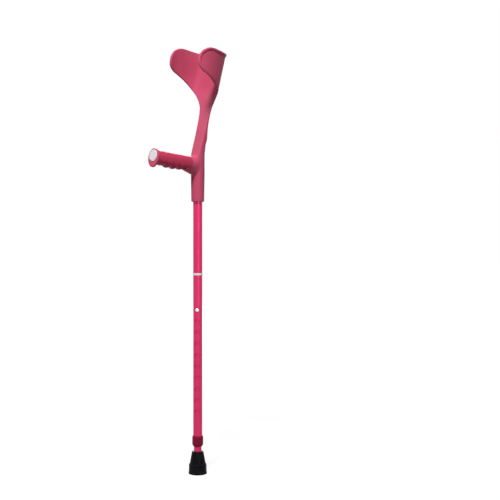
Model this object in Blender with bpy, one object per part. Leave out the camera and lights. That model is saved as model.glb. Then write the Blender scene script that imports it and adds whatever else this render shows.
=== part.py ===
"""Forearm crutch: a one-piece moulded handle and cuff on a leg of two telescopic tubes.

Metres, +Z up. The origin is the centre of the ferrule's sole, on the axis of the tubes.
The grip points along -Y, the cuff opens the same way, and X runs across the forearm.
The leg is drawn at its shortest setting, with the snap button in the highest hole.
"""
import math

import bmesh
import bpy
from mathutils import Matrix, Vector

# Clearance between faces that touch on the real object
GAP = 0.0003

# Values shared by many pieces
SMALL_EDGE = 0.0003
SHARP_ANGLE = math.radians(35)
CUTTER_OVERRUN = 0.0050
SAME_PLACE = 1e-7
TOUCH = 1e-5
ROUND_SEGMENTS = 24
DOME_STEPS = 4

# Tubes of the leg
OUTER_TUBE_D = 0.0200
OUTER_TUBE_WALL = 0.0012
OUTER_TUBE_BOTTOM_Z = 0.0720
OUTER_TUBE_TOP_Z = 0.6850
INNER_TUBE_WALL = 0.0012
INNER_TUBE_ABOVE_BUTTON = 0.0340
TUBE_SEGMENTS = 32

# Height setting: a row of holes in the outer tube, and one button
HOLE_COUNT = 10
HOLE_PITCH = 0.0250
HOLE_D = 0.0100
TOP_HOLE_Z = 0.3650
HOLE_TURN = math.radians(43)
HOLE_SEGMENTS = 20
BUTTON_D = 0.0078
BUTTON_PROUD = 0.0026
BUTTON_HOLE_D = 0.0086
BUTTON_DOME = 0.0016
BUTTON_FLANGE_D = 0.0094
BUTTON_FLANGE_PLAY = 0.0009
BUTTON_FLANGE_THICKNESS = 0.0008

# Spring strip that carries the button
STRIP_THICKNESS = 0.0005
STRIP_WIDTH = 0.0060
STRIP_ABOVE_BUTTON = 0.0070
STRIP_BELOW_BUTTON = 0.0360
STRIP_BEND_STEPS = 8

# Plug that guides the top end of the inner tube
PLUG_HEAD_HEIGHT = 0.0080
PLUG_STEM_LENGTH = 0.0120
PLUG_BORE_D = 0.0080
PLUG_EDGE = 0.0010
PLUG_RUNNING_GAP = 0.0002

# Reflective band round the outer tube
BAND_Z = 0.4430
BAND_HEIGHT = 0.0050
BAND_THICKNESS = 0.0004

# Locking collar and the split clamp ring inside it
COLLAR_BELOW_TUBE = 0.0105
COLLAR_HEIGHT = 0.0235
COLLAR_WALL = 0.0018
COLLAR_SHOULDER = 0.0032
COLLAR_FOOT = 0.0038
COLLAR_FOOT_WALL = 0.0010
COLLAR_LIP = 0.0028
COLLAR_RIM = 0.0008
COLLAR_FLUTES = 16
COLLAR_FLUTE_DEPTH = 0.0004
COLLAR_SEGMENTS = 64
COLLAR_SHARP_ANGLE = math.radians(25)
CLAMP_RING_TAPER = 0.0020
CLAMP_RING_SLOT = 0.0022

# Rubber ferrule and the steel disc under the inner tube
FERRULE_HEIGHT = 0.0500
FERRULE_TOP_WALL = 0.0038
FERRULE_STEP_Z = 0.0215
FERRULE_STEP_WALL = 0.0088
FERRULE_SKIRT_WALL = 0.0105
FERRULE_SOLE_WALL = 0.0114
FERRULE_FLOOR = 0.0120
FERRULE_LIP_Z = 0.0038
FERRULE_EDGE = 0.0008
FERRULE_EDGE_RISE = 0.0010
FERRULE_LIP_FILLET = (0.0003, 0.0012)
FERRULE_STEP_ROUND = ((0, 0.0022), (0.0006, 0.0004))
FERRULE_TOP_FLARE = (0.0004, 0.0030)
SOLE_GROOVE_DEPTH = 0.0016
SOLE_GROOVE_WIDTH = 0.0022
SOLE_GROOVES = (0.0080, 0.0128)
FOOT_DISC_THICKNESS = 0.0015
FERRULE_SEGMENTS = 48

# Upright of the handle moulding: a round socket, and a strap that leans out of its top.
# The strap's front face is flat, and the socket's back runs straight up until it meets
# the strap's back.
SOCKET_BOTTOM_Z = 0.6000
SOCKET_BOTTOM_WALL = 0.0037
SOCKET_TOP_WALL = 0.0047
SOCKET_ROUND = 0.0024
SOCKET_LENGTH = 0.0620
BEND_START = 0.0950
BEND_RADIUS = 0.1780
ARM_LEAN = math.radians(15.9)
UPRIGHT_LENGTH = 0.3224
CUFF_WALL = 0.0036
ROUND_END = 0.1000
SQUARE_START = 0.1450
FRONT_SWELL = 0.0010
BACK_BLEND = 0.0075
ARM_BACK_EDGE = 0.0040
ARM_FRONT_EDGE = 0.0010
CUFF_EDGE_START = 0.1900
CUFF_EDGE_END = 0.2300
EDGE_SHARE = 0.47

# On the narrow arm these shares of the half width stand in for the cuff's own lengths
NARROW_BACK = 0.40
NARROW_CORNER = 0.55
NARROW_BEAD_STEP = 0.40
NARROW_BEAD = 0.33
NARROW_EDGE = 0.30

# Cross-section of the cuff, from the middle of its back round to a wing
BACK_RADIUS = 0.0757
BACK_HALF = 0.0341
CORNER_LENGTH = 0.0127
WING_ANGLE = math.radians(68.5)
WING_RADIUS = 0.1140
BOW_START = 0.1550
BOW_END = 0.2330
STEEPEST_EDGE = 4.0
FLAT_LIMIT = 0.8

# Free edge of the arm and wing: distance up the spine, half width round the surface
EDGE_KEYS = (
    (0.1050, 0.0140),
    (0.1240, 0.0144),
    (0.1420, 0.0150),
    (0.1600, 0.0152),
    (0.1777, 0.0155),
    (0.1870, 0.0161),
    (0.1970, 0.0172),
    (0.2070, 0.0194),
    (0.2144, 0.0232),
    (0.2227, 0.0286),
    (0.2310, 0.0352),
    (0.2386, 0.0432),
    (0.2456, 0.0524),
    (0.2524, 0.0633),
    (0.2582, 0.0750),
    (0.2629, 0.0881),
    (0.2669, 0.1012),
    (0.2726, 0.1108),
    (0.2804, 0.1168),
    (0.2964, 0.1190),
)
WING_CORNER_HEIGHT = 0.0315
WING_CORNER_REACH = 0.0370
WING_START = 0.2000
WING_TIP = 0.2740

# Steps round half of the upright's outline, and rings up its spine
BACK_STEPS = 3
CORNER_STEPS = 3
WING_STEPS = 4
EDGE_STEPS = 3
SOCKET_ROUND_RINGS = 2
BEND_RINGS = 5
ARM_RINGS = 3
WING_RINGS = 16
EDGE_FINE_STEPS = 400
WING_CORNER_RINGS = 6
RIM_RINGS = (0.5, 0.85, 1.0)
RIM_FLAT = 0.3

# Rolled bead along the free edge of the cuff
BEAD_WIDTH = 0.0046
BEAD_STEP = 0.0010
BEAD_HEIGHT = 0.0016
BEAD_START = 0.2440
BEAD_END = 0.2620
RIM_ROUND = 0.0016

# Grip: its axis leaves the tube axis and rises to the front
GRIP_ROOT_Z = 0.6775
GRIP_TILT = math.radians(9.5)
GRIP_CORE_HALF_W = 0.0105
GRIP_CORE_HALF_H = 0.0090
GRIP_CORE_START = 0.0040
GRIP_CORE_COUNT = 28
GRIP_SQUARENESS = 2.3
FLANGE_FACE = 0.1250
FLANGE_THICKNESS = 0.0045
FLANGE_HALF_W = 0.0162
FLANGE_TOP = 0.0205
FLANGE_BOTTOM = 0.0200
FLANGE_TAPER = 0.04
FLANGE_BEVEL = 0.0010
FLANGE_COUNT = 36
DISC_D = 0.0250
DISC_CENTRE = 0.0055
DISC_THICKNESS = 0.0016
DISC_RECESS = 0.0012
DISC_SEGMENTS = 48

# Soft sleeve on the grip, with finger grooves that start under arches on its sides
SLEEVE_HALF_W = 0.0152
SLEEVE_TOP = 0.0175
SLEEVE_REAR = 0.0265
SLEEVE_BOTTOM_REAR = 0.0145
SLEEVE_BELLY = (
    (SLEEVE_REAR, SLEEVE_BOTTOM_REAR),
    (0.0680, 0.0168),
    (0.0900, 0.0153),
    (0.1200, 0.0117),
)
SLEEVE_REAR_SLANT = 1.0
SLEEVE_REAR_BLEND = 0.0040
SLEEVE_EDGE = 0.0012
SLEEVE_COUNT = 32
SLEEVE_STEPS = 36
GROOVE_COUNT = 4
GROOVE_PITCH = 0.0180
GROOVE_FIRST = 0.0430
GROOVE_DEPTH = 0.0030
ARCH_TOP = -0.0020
ARCH_FOOT = -0.0105
ARCH_RUN = 0.0075

# Root that flows from the sleeve's rear end into the upright, places along the spine
ROOT_INSET = 0.0010
ROOT_SINK = 0.0003
ROOT_BEHIND_SLEEVE = 1.5 * GAP
ROOT_ANCHOR = 0.6
ROOT_TOP = 0.1085
ROOT_MIDDLE = 0.0820
ROOT_BOTTOM = 0.0560
ROOT_SQUARE = 2.4
ROOT_RISE = 0.6
ROOT_CREASE = math.radians(40)
ROOT_SIDE_HANDLES = (0.45, 0.40)
ROOT_WEB_HANDLES = (0.80, 0.12)
ROOT_STEPS = 8
ROOT_COUNT = 32
NUDGE = 0.0002
NUDGE_TURN = 0.01

# Rivet through the back of the socket
RIVET_Z = 0.6330
RIVET_SHANK_D = 0.0040
RIVET_HEAD_D = 0.0080
RIVET_HEAD_HEIGHT = 0.0014
RIVET_TAIL = 0.0016

# Sizes that follow from the ones above
OUTER_TUBE_BORE_D = OUTER_TUBE_D - 2 * OUTER_TUBE_WALL
INNER_TUBE_D = OUTER_TUBE_BORE_D - 2 * GAP
INNER_TUBE_BORE_D = INNER_TUBE_D - 2 * INNER_TUBE_WALL
BUTTON_FLANGE_TOP = math.sqrt(INNER_TUBE_BORE_D ** 2 - BUTTON_FLANGE_D ** 2) / 2 - BUTTON_FLANGE_PLAY
INNER_TUBE_BOTTOM_Z = FERRULE_FLOOR + FOOT_DISC_THICKNESS + 2 * GAP
INNER_TUBE_TOP_Z = TOP_HOLE_Z + INNER_TUBE_ABOVE_BUTTON
HOLE_DIRECTION = Vector((math.sin(HOLE_TURN), -math.cos(HOLE_TURN), 0))
BUTTON_TIP = OUTER_TUBE_D / 2 + BUTTON_PROUD
SOCKET_BORE_R = OUTER_TUBE_D / 2 + GAP
SOCKET_BOTTOM_R = SOCKET_BORE_R + SOCKET_BOTTOM_WALL
SOCKET_TOP_R = SOCKET_BORE_R + SOCKET_TOP_WALL
COLLAR_BOTTOM_Z = OUTER_TUBE_BOTTOM_Z - COLLAR_BELOW_TUBE
COLLAR_BORE_R = OUTER_TUBE_D / 2 + GAP
COLLAR_FOOT_BORE_R = INNER_TUBE_D / 2 + GAP

PINK_MOULDING = ("pink moulding", (0.62, 0.10, 0.19), 0.42, 0.0)
PINK_SOFT = ("pink soft grip", (0.52, 0.05, 0.12), 0.55, 0.0)
PINK_METAL = ("pink anodised tube", (0.95, 0.13, 0.30), 0.30, 0.6)
MAROON_PLASTIC = ("maroon plastic", (0.22, 0.012, 0.035), 0.35, 0.0)
WHITE_FILM = ("white reflective film", (0.90, 0.88, 0.89), 0.35, 0.0)
BRIGHT_METAL = ("plated metal", (0.80, 0.80, 0.80), 0.25, 1.0)
SPRING_STEEL = ("spring steel", (0.45, 0.45, 0.47), 0.35, 1.0)
NATURAL_PLASTIC = ("natural plastic", (0.75, 0.75, 0.72), 0.5, 0.0)
BLACK_RUBBER = ("black rubber", (0.012, 0.013, 0.014), 0.6, 0.0)


def clear_scene():
    for item in list(bpy.data.objects):
        bpy.data.objects.remove(item, do_unlink=True)


def material(look):
    name, colour, roughness, metallic = look
    found = bpy.data.materials.get(name)
    if found:
        return found
    made = bpy.data.materials.new(name)
    made.use_nodes = True
    shader = made.node_tree.nodes["Principled BSDF"]
    shader.inputs["Base Color"].default_value = (*colour, 1)
    shader.inputs["Roughness"].default_value = roughness
    shader.inputs["Metallic"].default_value = metallic
    return made


def add_object(name, shape, look, sharp=SHARP_ANGLE):
    """Turn a bmesh into a smooth shaded object of one material."""
    bmesh.ops.recalc_face_normals(shape, faces=shape.faces)
    mesh = bpy.data.meshes.new(name)
    shape.to_mesh(mesh)
    shape.free()
    mesh.materials.append(material(look))
    mesh.shade_smooth()
    mesh.set_sharp_from_angle(angle=sharp)
    item = bpy.data.objects.new(name, mesh)
    bpy.context.scene.collection.objects.link(item)
    return item


def add_cutter(name, shape):
    cutter = add_object(name, shape, NATURAL_PLASTIC)
    cutter.hide_render = True
    cutter.display_type = "WIRE"
    return cutter


def combine(target, other, operation):
    """Add or remove one closed shape, and keep the other as a hidden guide."""
    modifier = target.modifiers.new(operation.lower(), "BOOLEAN")
    modifier.operation = operation
    modifier.solver = "EXACT"
    modifier.object = other
    other.hide_render = True
    other.display_type = "WIRE"


def ease(value, start, end):
    """Smooth step from 0 at start to 1 at end."""
    share = min(max((value - start) / (end - start), 0), 1)
    return share * share * (3 - 2 * share)


def mix(low, high, share):
    return low + (high - low) * share


def turned(profile, segments, closed):
    """Spin a profile of (radius, height) points round Z; a closed one makes a ring."""
    shape = bmesh.new()
    points = [shape.verts.new((radius, 0, height)) for radius, height in profile]
    edges = [shape.edges.new(pair) for pair in zip(points, points[1:])]
    if closed:
        edges.append(shape.edges.new((points[-1], points[0])))
    bmesh.ops.spin(
        shape, geom=points + edges, cent=(0, 0, 0), axis=(0, 0, 1),
        angle=math.tau, steps=segments, use_merge=True,
    )
    bmesh.ops.remove_doubles(shape, verts=shape.verts, dist=SAME_PLACE)
    return shape


def dome(radius, rise, base):
    """Profile of a dome, from its foot to the point on the axis."""
    found = []
    for step in range(DOME_STEPS):
        turn = step / DOME_STEPS * math.pi / 2
        found.append((radius * math.cos(turn), base + rise * math.sin(turn)))
    return found + [(0, base + rise)]


def cylinder(diameter, length, segments, transform):
    """Cylinder that starts at the origin and runs up its own Z, then is placed."""
    shape = bmesh.new()
    bmesh.ops.create_cone(
        shape, cap_ends=True, segments=segments,
        radius1=diameter / 2, radius2=diameter / 2, depth=length,
    )
    bmesh.ops.translate(shape, verts=shape.verts, vec=(0, 0, length / 2))
    bmesh.ops.transform(shape, verts=shape.verts, matrix=transform)
    return shape


def aim(direction, origin):
    """Transform that points the local Z along a direction."""
    turn = Vector(direction).to_track_quat("Z", "Y").to_matrix().to_4x4()
    return Matrix.Translation(origin) @ turn


def loft(loops, cap_start=True, cap_end=True):
    """Skin rings of points that all have the same count."""
    shape = bmesh.new()
    rings = [[shape.verts.new(point) for point in loop] for loop in loops]
    for low, high in zip(rings, rings[1:]):
        count = len(low)
        for i in range(count):
            j = (i + 1) % count
            shape.faces.new((low[i], low[j], high[j], high[i]))
    if cap_start:
        shape.faces.new(list(reversed(rings[0])))
    if cap_end:
        shape.faces.new(rings[-1])
    return shape, rings


def tube(name, diameter, wall, bottom, top, look):
    outside = diameter / 2
    inside = outside - wall
    profile = (
        (inside, bottom + SMALL_EDGE),
        (inside + SMALL_EDGE, bottom),
        (outside - SMALL_EDGE, bottom),
        (outside, bottom + SMALL_EDGE),
        (outside, top - SMALL_EDGE),
        (outside - SMALL_EDGE, top),
        (inside + SMALL_EDGE, top),
        (inside, top - SMALL_EDGE),
    )
    return add_object(name, turned(profile, TUBE_SEGMENTS, True), look)


def side_hole(name, diameter, heights):
    """Cutter for holes through one side of a tube, along the button's axis."""
    whole = bmesh.new()
    for height in heights:
        hole = cylinder(diameter, OUTER_TUBE_D, HOLE_SEGMENTS, aim(HOLE_DIRECTION, (0, 0, height)))
        piece = bpy.data.meshes.new(name)
        hole.to_mesh(piece)
        hole.free()
        whole.from_mesh(piece)
        bpy.data.meshes.remove(piece)
    return add_cutter(name, whole)


def rivet_frame(distance):
    """Place on the rivet's axis, at a distance from the tube axis, pointing backwards."""
    return aim((0, 1, 0), (0, distance, RIVET_Z))


def rivet_hole():
    shape = cylinder(RIVET_SHANK_D + 2 * GAP, 2 * SOCKET_TOP_R, ROUND_SEGMENTS, rivet_frame(0))
    return add_cutter("rivet_hole_cutter", shape)


def outer_tube():
    item = tube(
        "outer_tube", OUTER_TUBE_D, OUTER_TUBE_WALL,
        OUTER_TUBE_BOTTOM_Z, OUTER_TUBE_TOP_Z, PINK_METAL,
    )
    heights = [TOP_HOLE_Z - index * HOLE_PITCH for index in range(HOLE_COUNT)]
    combine(item, side_hole("setting_holes_cutter", HOLE_D, heights), "DIFFERENCE")
    combine(item, rivet_hole(), "DIFFERENCE")


def inner_tube():
    item = tube(
        "inner_tube", INNER_TUBE_D, INNER_TUBE_WALL,
        INNER_TUBE_BOTTOM_Z, INNER_TUBE_TOP_Z, PINK_METAL,
    )
    combine(item, side_hole("button_hole_cutter", BUTTON_HOLE_D, [TOP_HOLE_Z]), "DIFFERENCE")


def inner_tube_plug():
    """Plastic plug in the top end of the inner tube, which runs in the outer tube."""
    head = OUTER_TUBE_BORE_D / 2 - PLUG_RUNNING_GAP
    stem = INNER_TUBE_BORE_D / 2 - GAP
    seat = INNER_TUBE_TOP_Z + GAP
    bore = PLUG_BORE_D / 2
    bevel = PLUG_EDGE
    profile = (
        (bore, seat - PLUG_STEM_LENGTH),
        (stem - bevel, seat - PLUG_STEM_LENGTH),
        (stem, seat - PLUG_STEM_LENGTH + bevel),
        (stem, seat),
        (head, seat),
        (head, seat + PLUG_HEAD_HEIGHT - bevel),
        (head - bevel, seat + PLUG_HEAD_HEIGHT),
        (bore, seat + PLUG_HEAD_HEIGHT),
    )
    add_object("inner_tube_plug", turned(profile, TUBE_SEGMENTS, True), NATURAL_PLASTIC)


def snap_button():
    """Domed button with a flange inside the inner tube; its origin is on its own axis."""
    flange_low = BUTTON_FLANGE_TOP - BUTTON_FLANGE_THICKNESS
    radius = BUTTON_D / 2
    profile = [
        (0, flange_low),
        (BUTTON_FLANGE_D / 2, flange_low),
        (BUTTON_FLANGE_D / 2, BUTTON_FLANGE_TOP),
        (radius, BUTTON_FLANGE_TOP),
    ]
    profile += dome(radius, BUTTON_DOME, BUTTON_TIP - BUTTON_DOME)
    item = add_object("snap_button", turned(profile, ROUND_SEGMENTS, False), BRIGHT_METAL)
    item.matrix_world = aim(HOLE_DIRECTION, (0, 0, TOP_HOLE_Z))


def button_spring():
    """Spring strip bent like a hairpin: one leg under the button, one on the far wall."""
    half = STRIP_WIDTH / 2
    bore = INNER_TUBE_BORE_D / 2
    front = BUTTON_FLANGE_TOP - BUTTON_FLANGE_THICKNESS - GAP
    back = -(math.sqrt(bore ** 2 - half ** 2) - GAP)
    bend_radius = (front - back) / 2
    centre = (front + back) / 2
    bend_z = -STRIP_BELOW_BUTTON
    outer = [(front, STRIP_ABOVE_BUTTON)]
    inner = [(front - STRIP_THICKNESS, STRIP_ABOVE_BUTTON)]
    for step in range(STRIP_BEND_STEPS + 1):
        turn = -step / STRIP_BEND_STEPS * math.pi
        for line, radius in ((outer, bend_radius), (inner, bend_radius - STRIP_THICKNESS)):
            line.append((centre + radius * math.cos(turn), bend_z + radius * math.sin(turn)))
    outer.append((back, STRIP_ABOVE_BUTTON))
    inner.append((back + STRIP_THICKNESS, STRIP_ABOVE_BUTTON))
    outline = outer + list(reversed(inner))
    loops = [[(reach, side, height) for reach, height in outline] for side in (-half, half)]
    shape, _ = loft(loops)
    turn = Matrix.Rotation(HOLE_TURN - math.pi / 2, 4, "Z")
    place = Matrix.Translation((0, 0, TOP_HOLE_Z)) @ turn
    item = add_object("button_spring", shape, SPRING_STEEL)
    item.matrix_world = place


def reflective_band():
    inside = OUTER_TUBE_D / 2 + GAP
    outside = inside + BAND_THICKNESS
    low = BAND_Z - BAND_HEIGHT / 2
    high = BAND_Z + BAND_HEIGHT / 2
    profile = ((inside, low), (outside, low), (outside, high), (inside, high))
    add_object("reflective_band", turned(profile, TUBE_SEGMENTS, True), WHITE_FILM)


def flute(point):
    """Depth of the grip flutes at a point of the collar's outside."""
    turn = math.atan2(point.y, point.x)
    return COLLAR_FLUTE_DEPTH * (0.5 - 0.5 * math.cos(COLLAR_FLUTES * turn))


def locking_collar():
    """Screwed collar on the end of the outer tube, with a seat that squeezes the ring."""
    outside = COLLAR_BORE_R + COLLAR_WALL
    bottom = COLLAR_BOTTOM_Z
    top = bottom + COLLAR_HEIGHT
    lip = bottom + COLLAR_LIP
    profile = (
        (COLLAR_FOOT_BORE_R, bottom),
        (COLLAR_FOOT_BORE_R + COLLAR_FOOT_WALL, bottom),
        (outside, bottom + COLLAR_FOOT),
        (outside, top - COLLAR_SHOULDER),
        (COLLAR_BORE_R + COLLAR_RIM, top),
        (COLLAR_BORE_R, top),
        (COLLAR_BORE_R, lip + CLAMP_RING_TAPER),
        (COLLAR_FOOT_BORE_R, lip),
    )
    shape = turned(profile, COLLAR_SEGMENTS, True)
    for vert in shape.verts:
        distance = math.hypot(vert.co.x, vert.co.y)
        if distance > outside - TOUCH:
            shrink = (distance - flute(vert.co)) / distance
            vert.co.x *= shrink
            vert.co.y *= shrink
    add_object("locking_collar", shape, MAROON_PLASTIC, COLLAR_SHARP_ANGLE)


def clamp_ring():
    """Split ring that the collar squeezes on to the inner tube."""
    inside = INNER_TUBE_D / 2 + GAP
    outside = OUTER_TUBE_D / 2
    bottom = COLLAR_BOTTOM_Z + COLLAR_LIP + 3 * GAP
    top = OUTER_TUBE_BOTTOM_Z - GAP
    profile = (
        (inside, bottom),
        (inside + GAP, bottom),
        (outside, bottom + CLAMP_RING_TAPER),
        (outside, top),
        (inside, top),
    )
    item = add_object("clamp_ring", turned(profile, TUBE_SEGMENTS, True), NATURAL_PLASTIC)
    slot = bmesh.new()
    bmesh.ops.create_cube(slot, size=1)
    size = (CLAMP_RING_SLOT, OUTER_TUBE_D, 4 * (top - bottom))
    bmesh.ops.scale(slot, vec=size, verts=slot.verts)
    bmesh.ops.translate(slot, vec=(0, OUTER_TUBE_D / 2, (top + bottom) / 2), verts=slot.verts)
    combine(item, add_cutter("clamp_ring_slot_cutter", slot), "DIFFERENCE")


def ferrule():
    """Rubber foot: a cone with a stepped skirt, and ring grooves in its sole."""
    bore = INNER_TUBE_D / 2 + GAP
    top, step, skirt, sole = (
        bore + wall
        for wall in (FERRULE_TOP_WALL, FERRULE_STEP_WALL, FERRULE_SKIRT_WALL, FERRULE_SOLE_WALL)
    )
    profile = [(0, 0)]
    for radius in SOLE_GROOVES:
        low = radius - SOLE_GROOVE_WIDTH / 2
        high = radius + SOLE_GROOVE_WIDTH / 2
        profile += [(low, 0), (low, SOLE_GROOVE_DEPTH), (high, SOLE_GROOVE_DEPTH), (high, 0)]
    profile += [
        (sole - FERRULE_EDGE, 0),
        (sole, FERRULE_EDGE_RISE),
        (sole, FERRULE_LIP_Z - FERRULE_EDGE),
        (skirt + FERRULE_LIP_FILLET[0], FERRULE_LIP_Z + FERRULE_LIP_FILLET[1]),
        *((skirt - inset, FERRULE_STEP_Z - drop) for inset, drop in FERRULE_STEP_ROUND),
        (step, FERRULE_STEP_Z + FERRULE_EDGE_RISE),
        (top + FERRULE_TOP_FLARE[0], FERRULE_HEIGHT - FERRULE_TOP_FLARE[1]),
        (top, FERRULE_HEIGHT - FERRULE_EDGE),
        (top - FERRULE_EDGE_RISE, FERRULE_HEIGHT),
        (bore + FERRULE_EDGE, FERRULE_HEIGHT),
        (bore, FERRULE_HEIGHT - FERRULE_EDGE_RISE),
        (bore, FERRULE_FLOOR),
        (0, FERRULE_FLOOR),
    ]
    add_object("ferrule", turned(profile, FERRULE_SEGMENTS, False), BLACK_RUBBER)


def foot_disc():
    """Steel disc that stops the inner tube from cutting through the rubber."""
    radius = INNER_TUBE_D / 2
    low = FERRULE_FLOOR + GAP
    high = low + FOOT_DISC_THICKNESS
    profile = (
        (0, low),
        (radius - SMALL_EDGE, low),
        (radius, low + SMALL_EDGE),
        (radius, high - SMALL_EDGE),
        (radius - SMALL_EDGE, high),
        (0, high),
    )
    add_object("foot_disc", turned(profile, TUBE_SEGMENTS, False), BRIGHT_METAL)


def spine_frame(along):
    """Point, direction and forward direction of the upright's spine."""
    angle = min(max((along - BEND_START) / BEND_RADIUS, 0), ARM_LEAN)
    bend_end = BEND_START + BEND_RADIUS * ARM_LEAN
    straight = max(along - bend_end, 0)
    y = BEND_RADIUS * (1 - math.cos(angle)) + straight * math.sin(angle)
    z = min(along, BEND_START) + BEND_RADIUS * math.sin(angle) + straight * math.cos(angle)
    point = Vector((0, y, SOCKET_BOTTOM_Z + z))
    forward = Vector((0, -math.cos(angle), math.sin(angle)))
    return point, forward


def through_keys(keys, value):
    """Smooth curve through a few (place, size) pairs."""
    places = [place for place, _ in keys]
    sizes = [size for _, size in keys]
    last = len(keys) - 1
    slopes = []
    for i in range(last + 1):
        low = max(i - 1, 0)
        high = min(i + 1, last)
        slopes.append((sizes[high] - sizes[low]) / (places[high] - places[low]))
    value = min(max(value, places[0]), places[-1])
    i = 0
    while i < last - 1 and value > places[i + 1]:
        i += 1
    span = places[i + 1] - places[i]
    t = (value - places[i]) / span
    start = (1 + 2 * t) * (1 - t) ** 2 * sizes[i] + t * (1 - t) ** 2 * span * slopes[i]
    end = t * t * (3 - 2 * t) * sizes[i + 1] + t * t * (t - 1) * span * slopes[i + 1]
    return start + end


def half_width(along):
    """Half width of the arm or cuff, measured round its wall."""
    rise = 1 - (UPRIGHT_LENGTH - along) / WING_CORNER_HEIGHT
    rise = min(max(rise, 0), 1)
    corner = WING_CORNER_REACH * (1 - math.sqrt(1 - rise * rise))
    return through_keys(EDGE_KEYS, along) - corner


def edge_slant(along):
    """How much longer a step across the slanted free edge is when it is taken round the wall."""
    slope = (half_width(along + NUDGE) - half_width(along - NUDGE)) / (2 * NUDGE)
    return min(math.sqrt(1 + slope * slope), STEEPEST_EDGE)


def lean_gap(along):
    """How far the straight middle line of the strap lies in front of the spine."""
    point, forward = spine_frame(along)
    far, lean_forward = spine_frame(UPRIGHT_LENGTH)
    return (far - point).dot(lean_forward) / forward.dot(lean_forward)


def front_reach(along):
    """Distance from the spine forward to the flat front face of the strap."""
    swell = FRONT_SWELL * (1 - ease(along, ROUND_END, SQUARE_START))
    return CUFF_WALL / 2 + lean_gap(along) + swell


def back_reach(along):
    """Distance from the spine back to the socket's straight back or the strap's, blended."""
    point, forward = spine_frame(along)
    socket_back = (SOCKET_TOP_R - point.y) / -forward.y
    strap_back = CUFF_WALL / 2 - lean_gap(along)
    spread = math.hypot(socket_back - strap_back, BACK_BLEND)
    return (socket_back + strap_back + spread) / 2


def wall_line(reach, bow):
    """Middle line of the wall: sideways, forward, and its direction, at a reach from the back."""
    back = min(reach, BACK_HALF)
    turn = bow * back
    if bow < TOUCH:
        side = back
        forward = 0.0
    else:
        side = math.sin(turn) / bow
        forward = (1 - math.cos(turn)) / bow
    if reach > BACK_HALF:
        step = min(reach - BACK_HALF, CORNER_LENGTH)
        tightness = (WING_ANGLE - turn) / CORNER_LENGTH
        turned_to = turn + tightness * step
        side += (math.sin(turned_to) - math.sin(turn)) / tightness
        forward += (math.cos(turn) - math.cos(turned_to)) / tightness
        turn = turned_to
    if reach > BACK_HALF + CORNER_LENGTH:
        turned_to = turn + (reach - BACK_HALF - CORNER_LENGTH) / WING_RADIUS
        side += (math.sin(turned_to) - math.sin(turn)) * WING_RADIUS
        forward += (math.cos(turn) - math.cos(turned_to)) * WING_RADIUS
        turn = turned_to
    return side, forward, turn


def reaches(width, slant):
    """Places round half of the wall, denser at the corner and at the bead."""
    corner_start = min(BACK_HALF, width * NARROW_BACK)
    corner_end = min(BACK_HALF + CORNER_LENGTH, width * NARROW_CORNER)
    bead_start = width - min((BEAD_WIDTH + BEAD_STEP) * slant, width * NARROW_BEAD_STEP)
    bead_full = width - min(BEAD_WIDTH * slant, width * NARROW_BEAD)
    found = [corner_start * i / BACK_STEPS for i in range(BACK_STEPS)]
    found += [mix(corner_start, corner_end, i / CORNER_STEPS) for i in range(CORNER_STEPS)]
    found += [mix(corner_end, bead_start, i / WING_STEPS) for i in range(WING_STEPS)]
    return found + [bead_start, bead_full]


def bead_height(along, edge):
    """Height of the bead at a distance from the wing's edge."""
    inside = 1 - ease(min(edge, UPRIGHT_LENGTH - along), BEAD_WIDTH, BEAD_WIDTH + BEAD_STEP)
    return BEAD_HEIGHT * inside * ease(along, BEAD_START, BEAD_END)


def strap_section(along, pinch):
    """Half section of the strap laid flat: (reach, offset to the back), back to front."""
    width = half_width(along)
    slant = edge_slant(along)
    front = front_reach(along) * pinch
    back = back_reach(along) * pinch
    rim = back + bead_height(along, 0) * pinch
    cuff = ease(along, CUFF_EDGE_START, CUFF_EDGE_END)
    widest = (front + rim) * EDGE_SHARE
    back_edge = min(mix(ARM_BACK_EDGE, widest, cuff), widest)
    front_edge = min(mix(ARM_FRONT_EDGE, widest, cuff), widest)
    places = reaches(width, slant)
    most = width * NARROW_EDGE
    section = []
    for place in places:
        section.append((place, back + bead_height(along, (width - place) / slant) * pinch))
    for i in range(EDGE_STEPS + 1):
        turn = i / EDGE_STEPS * math.pi / 2
        inset = back_edge * (1 - math.sin(turn)) * slant
        section.append((width - min(inset, most), rim - back_edge * (1 - math.cos(turn))))
    for i in range(EDGE_STEPS + 1):
        turn = i / EDGE_STEPS * math.pi / 2
        inset = front_edge * (1 - math.cos(turn)) * slant
        section.append((width - min(inset, most), front_edge * (1 - math.sin(turn)) - front))
    return section + [(place, -front) for place in reversed(places)]


def strap_outline(along, pinch):
    """Half outline of the strap or cuff: its section wrapped round the bowed middle line."""
    bow = ease(along, BOW_START, BOW_END) / BACK_RADIUS
    found = []
    for reach, offset in strap_section(along, pinch):
        side, forward, turn = wall_line(reach, bow)
        found.append((side + math.sin(turn) * offset, forward - math.cos(turn) * offset))
    return found


def socket_radius(along):
    return mix(SOCKET_BOTTOM_R, SOCKET_TOP_R, min(along / SOCKET_LENGTH, 1))


def socket_outline(along, radius, lines):
    """Half outline of the socket: a circle, cut flat where the strap's face runs into it."""
    front = front_reach(along)
    cut = math.asin(min(front / radius, FLAT_LIMIT))
    turns = [i / (lines + EDGE_STEPS + 1) * math.pi / 2 for i in range(lines + EDGE_STEPS + 1)]
    turns += [math.pi / 2 + (i + 0.5) / (EDGE_STEPS + 1) * cut for i in range(EDGE_STEPS + 1)]
    found = [(radius * math.sin(turn), -radius * math.cos(turn)) for turn in turns]
    for i in range(lines):
        side = radius * math.cos(cut) * (1 - i / (lines - 1))
        found.append((side, min(front, math.sqrt(radius * radius - side * side))))
    return found


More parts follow.
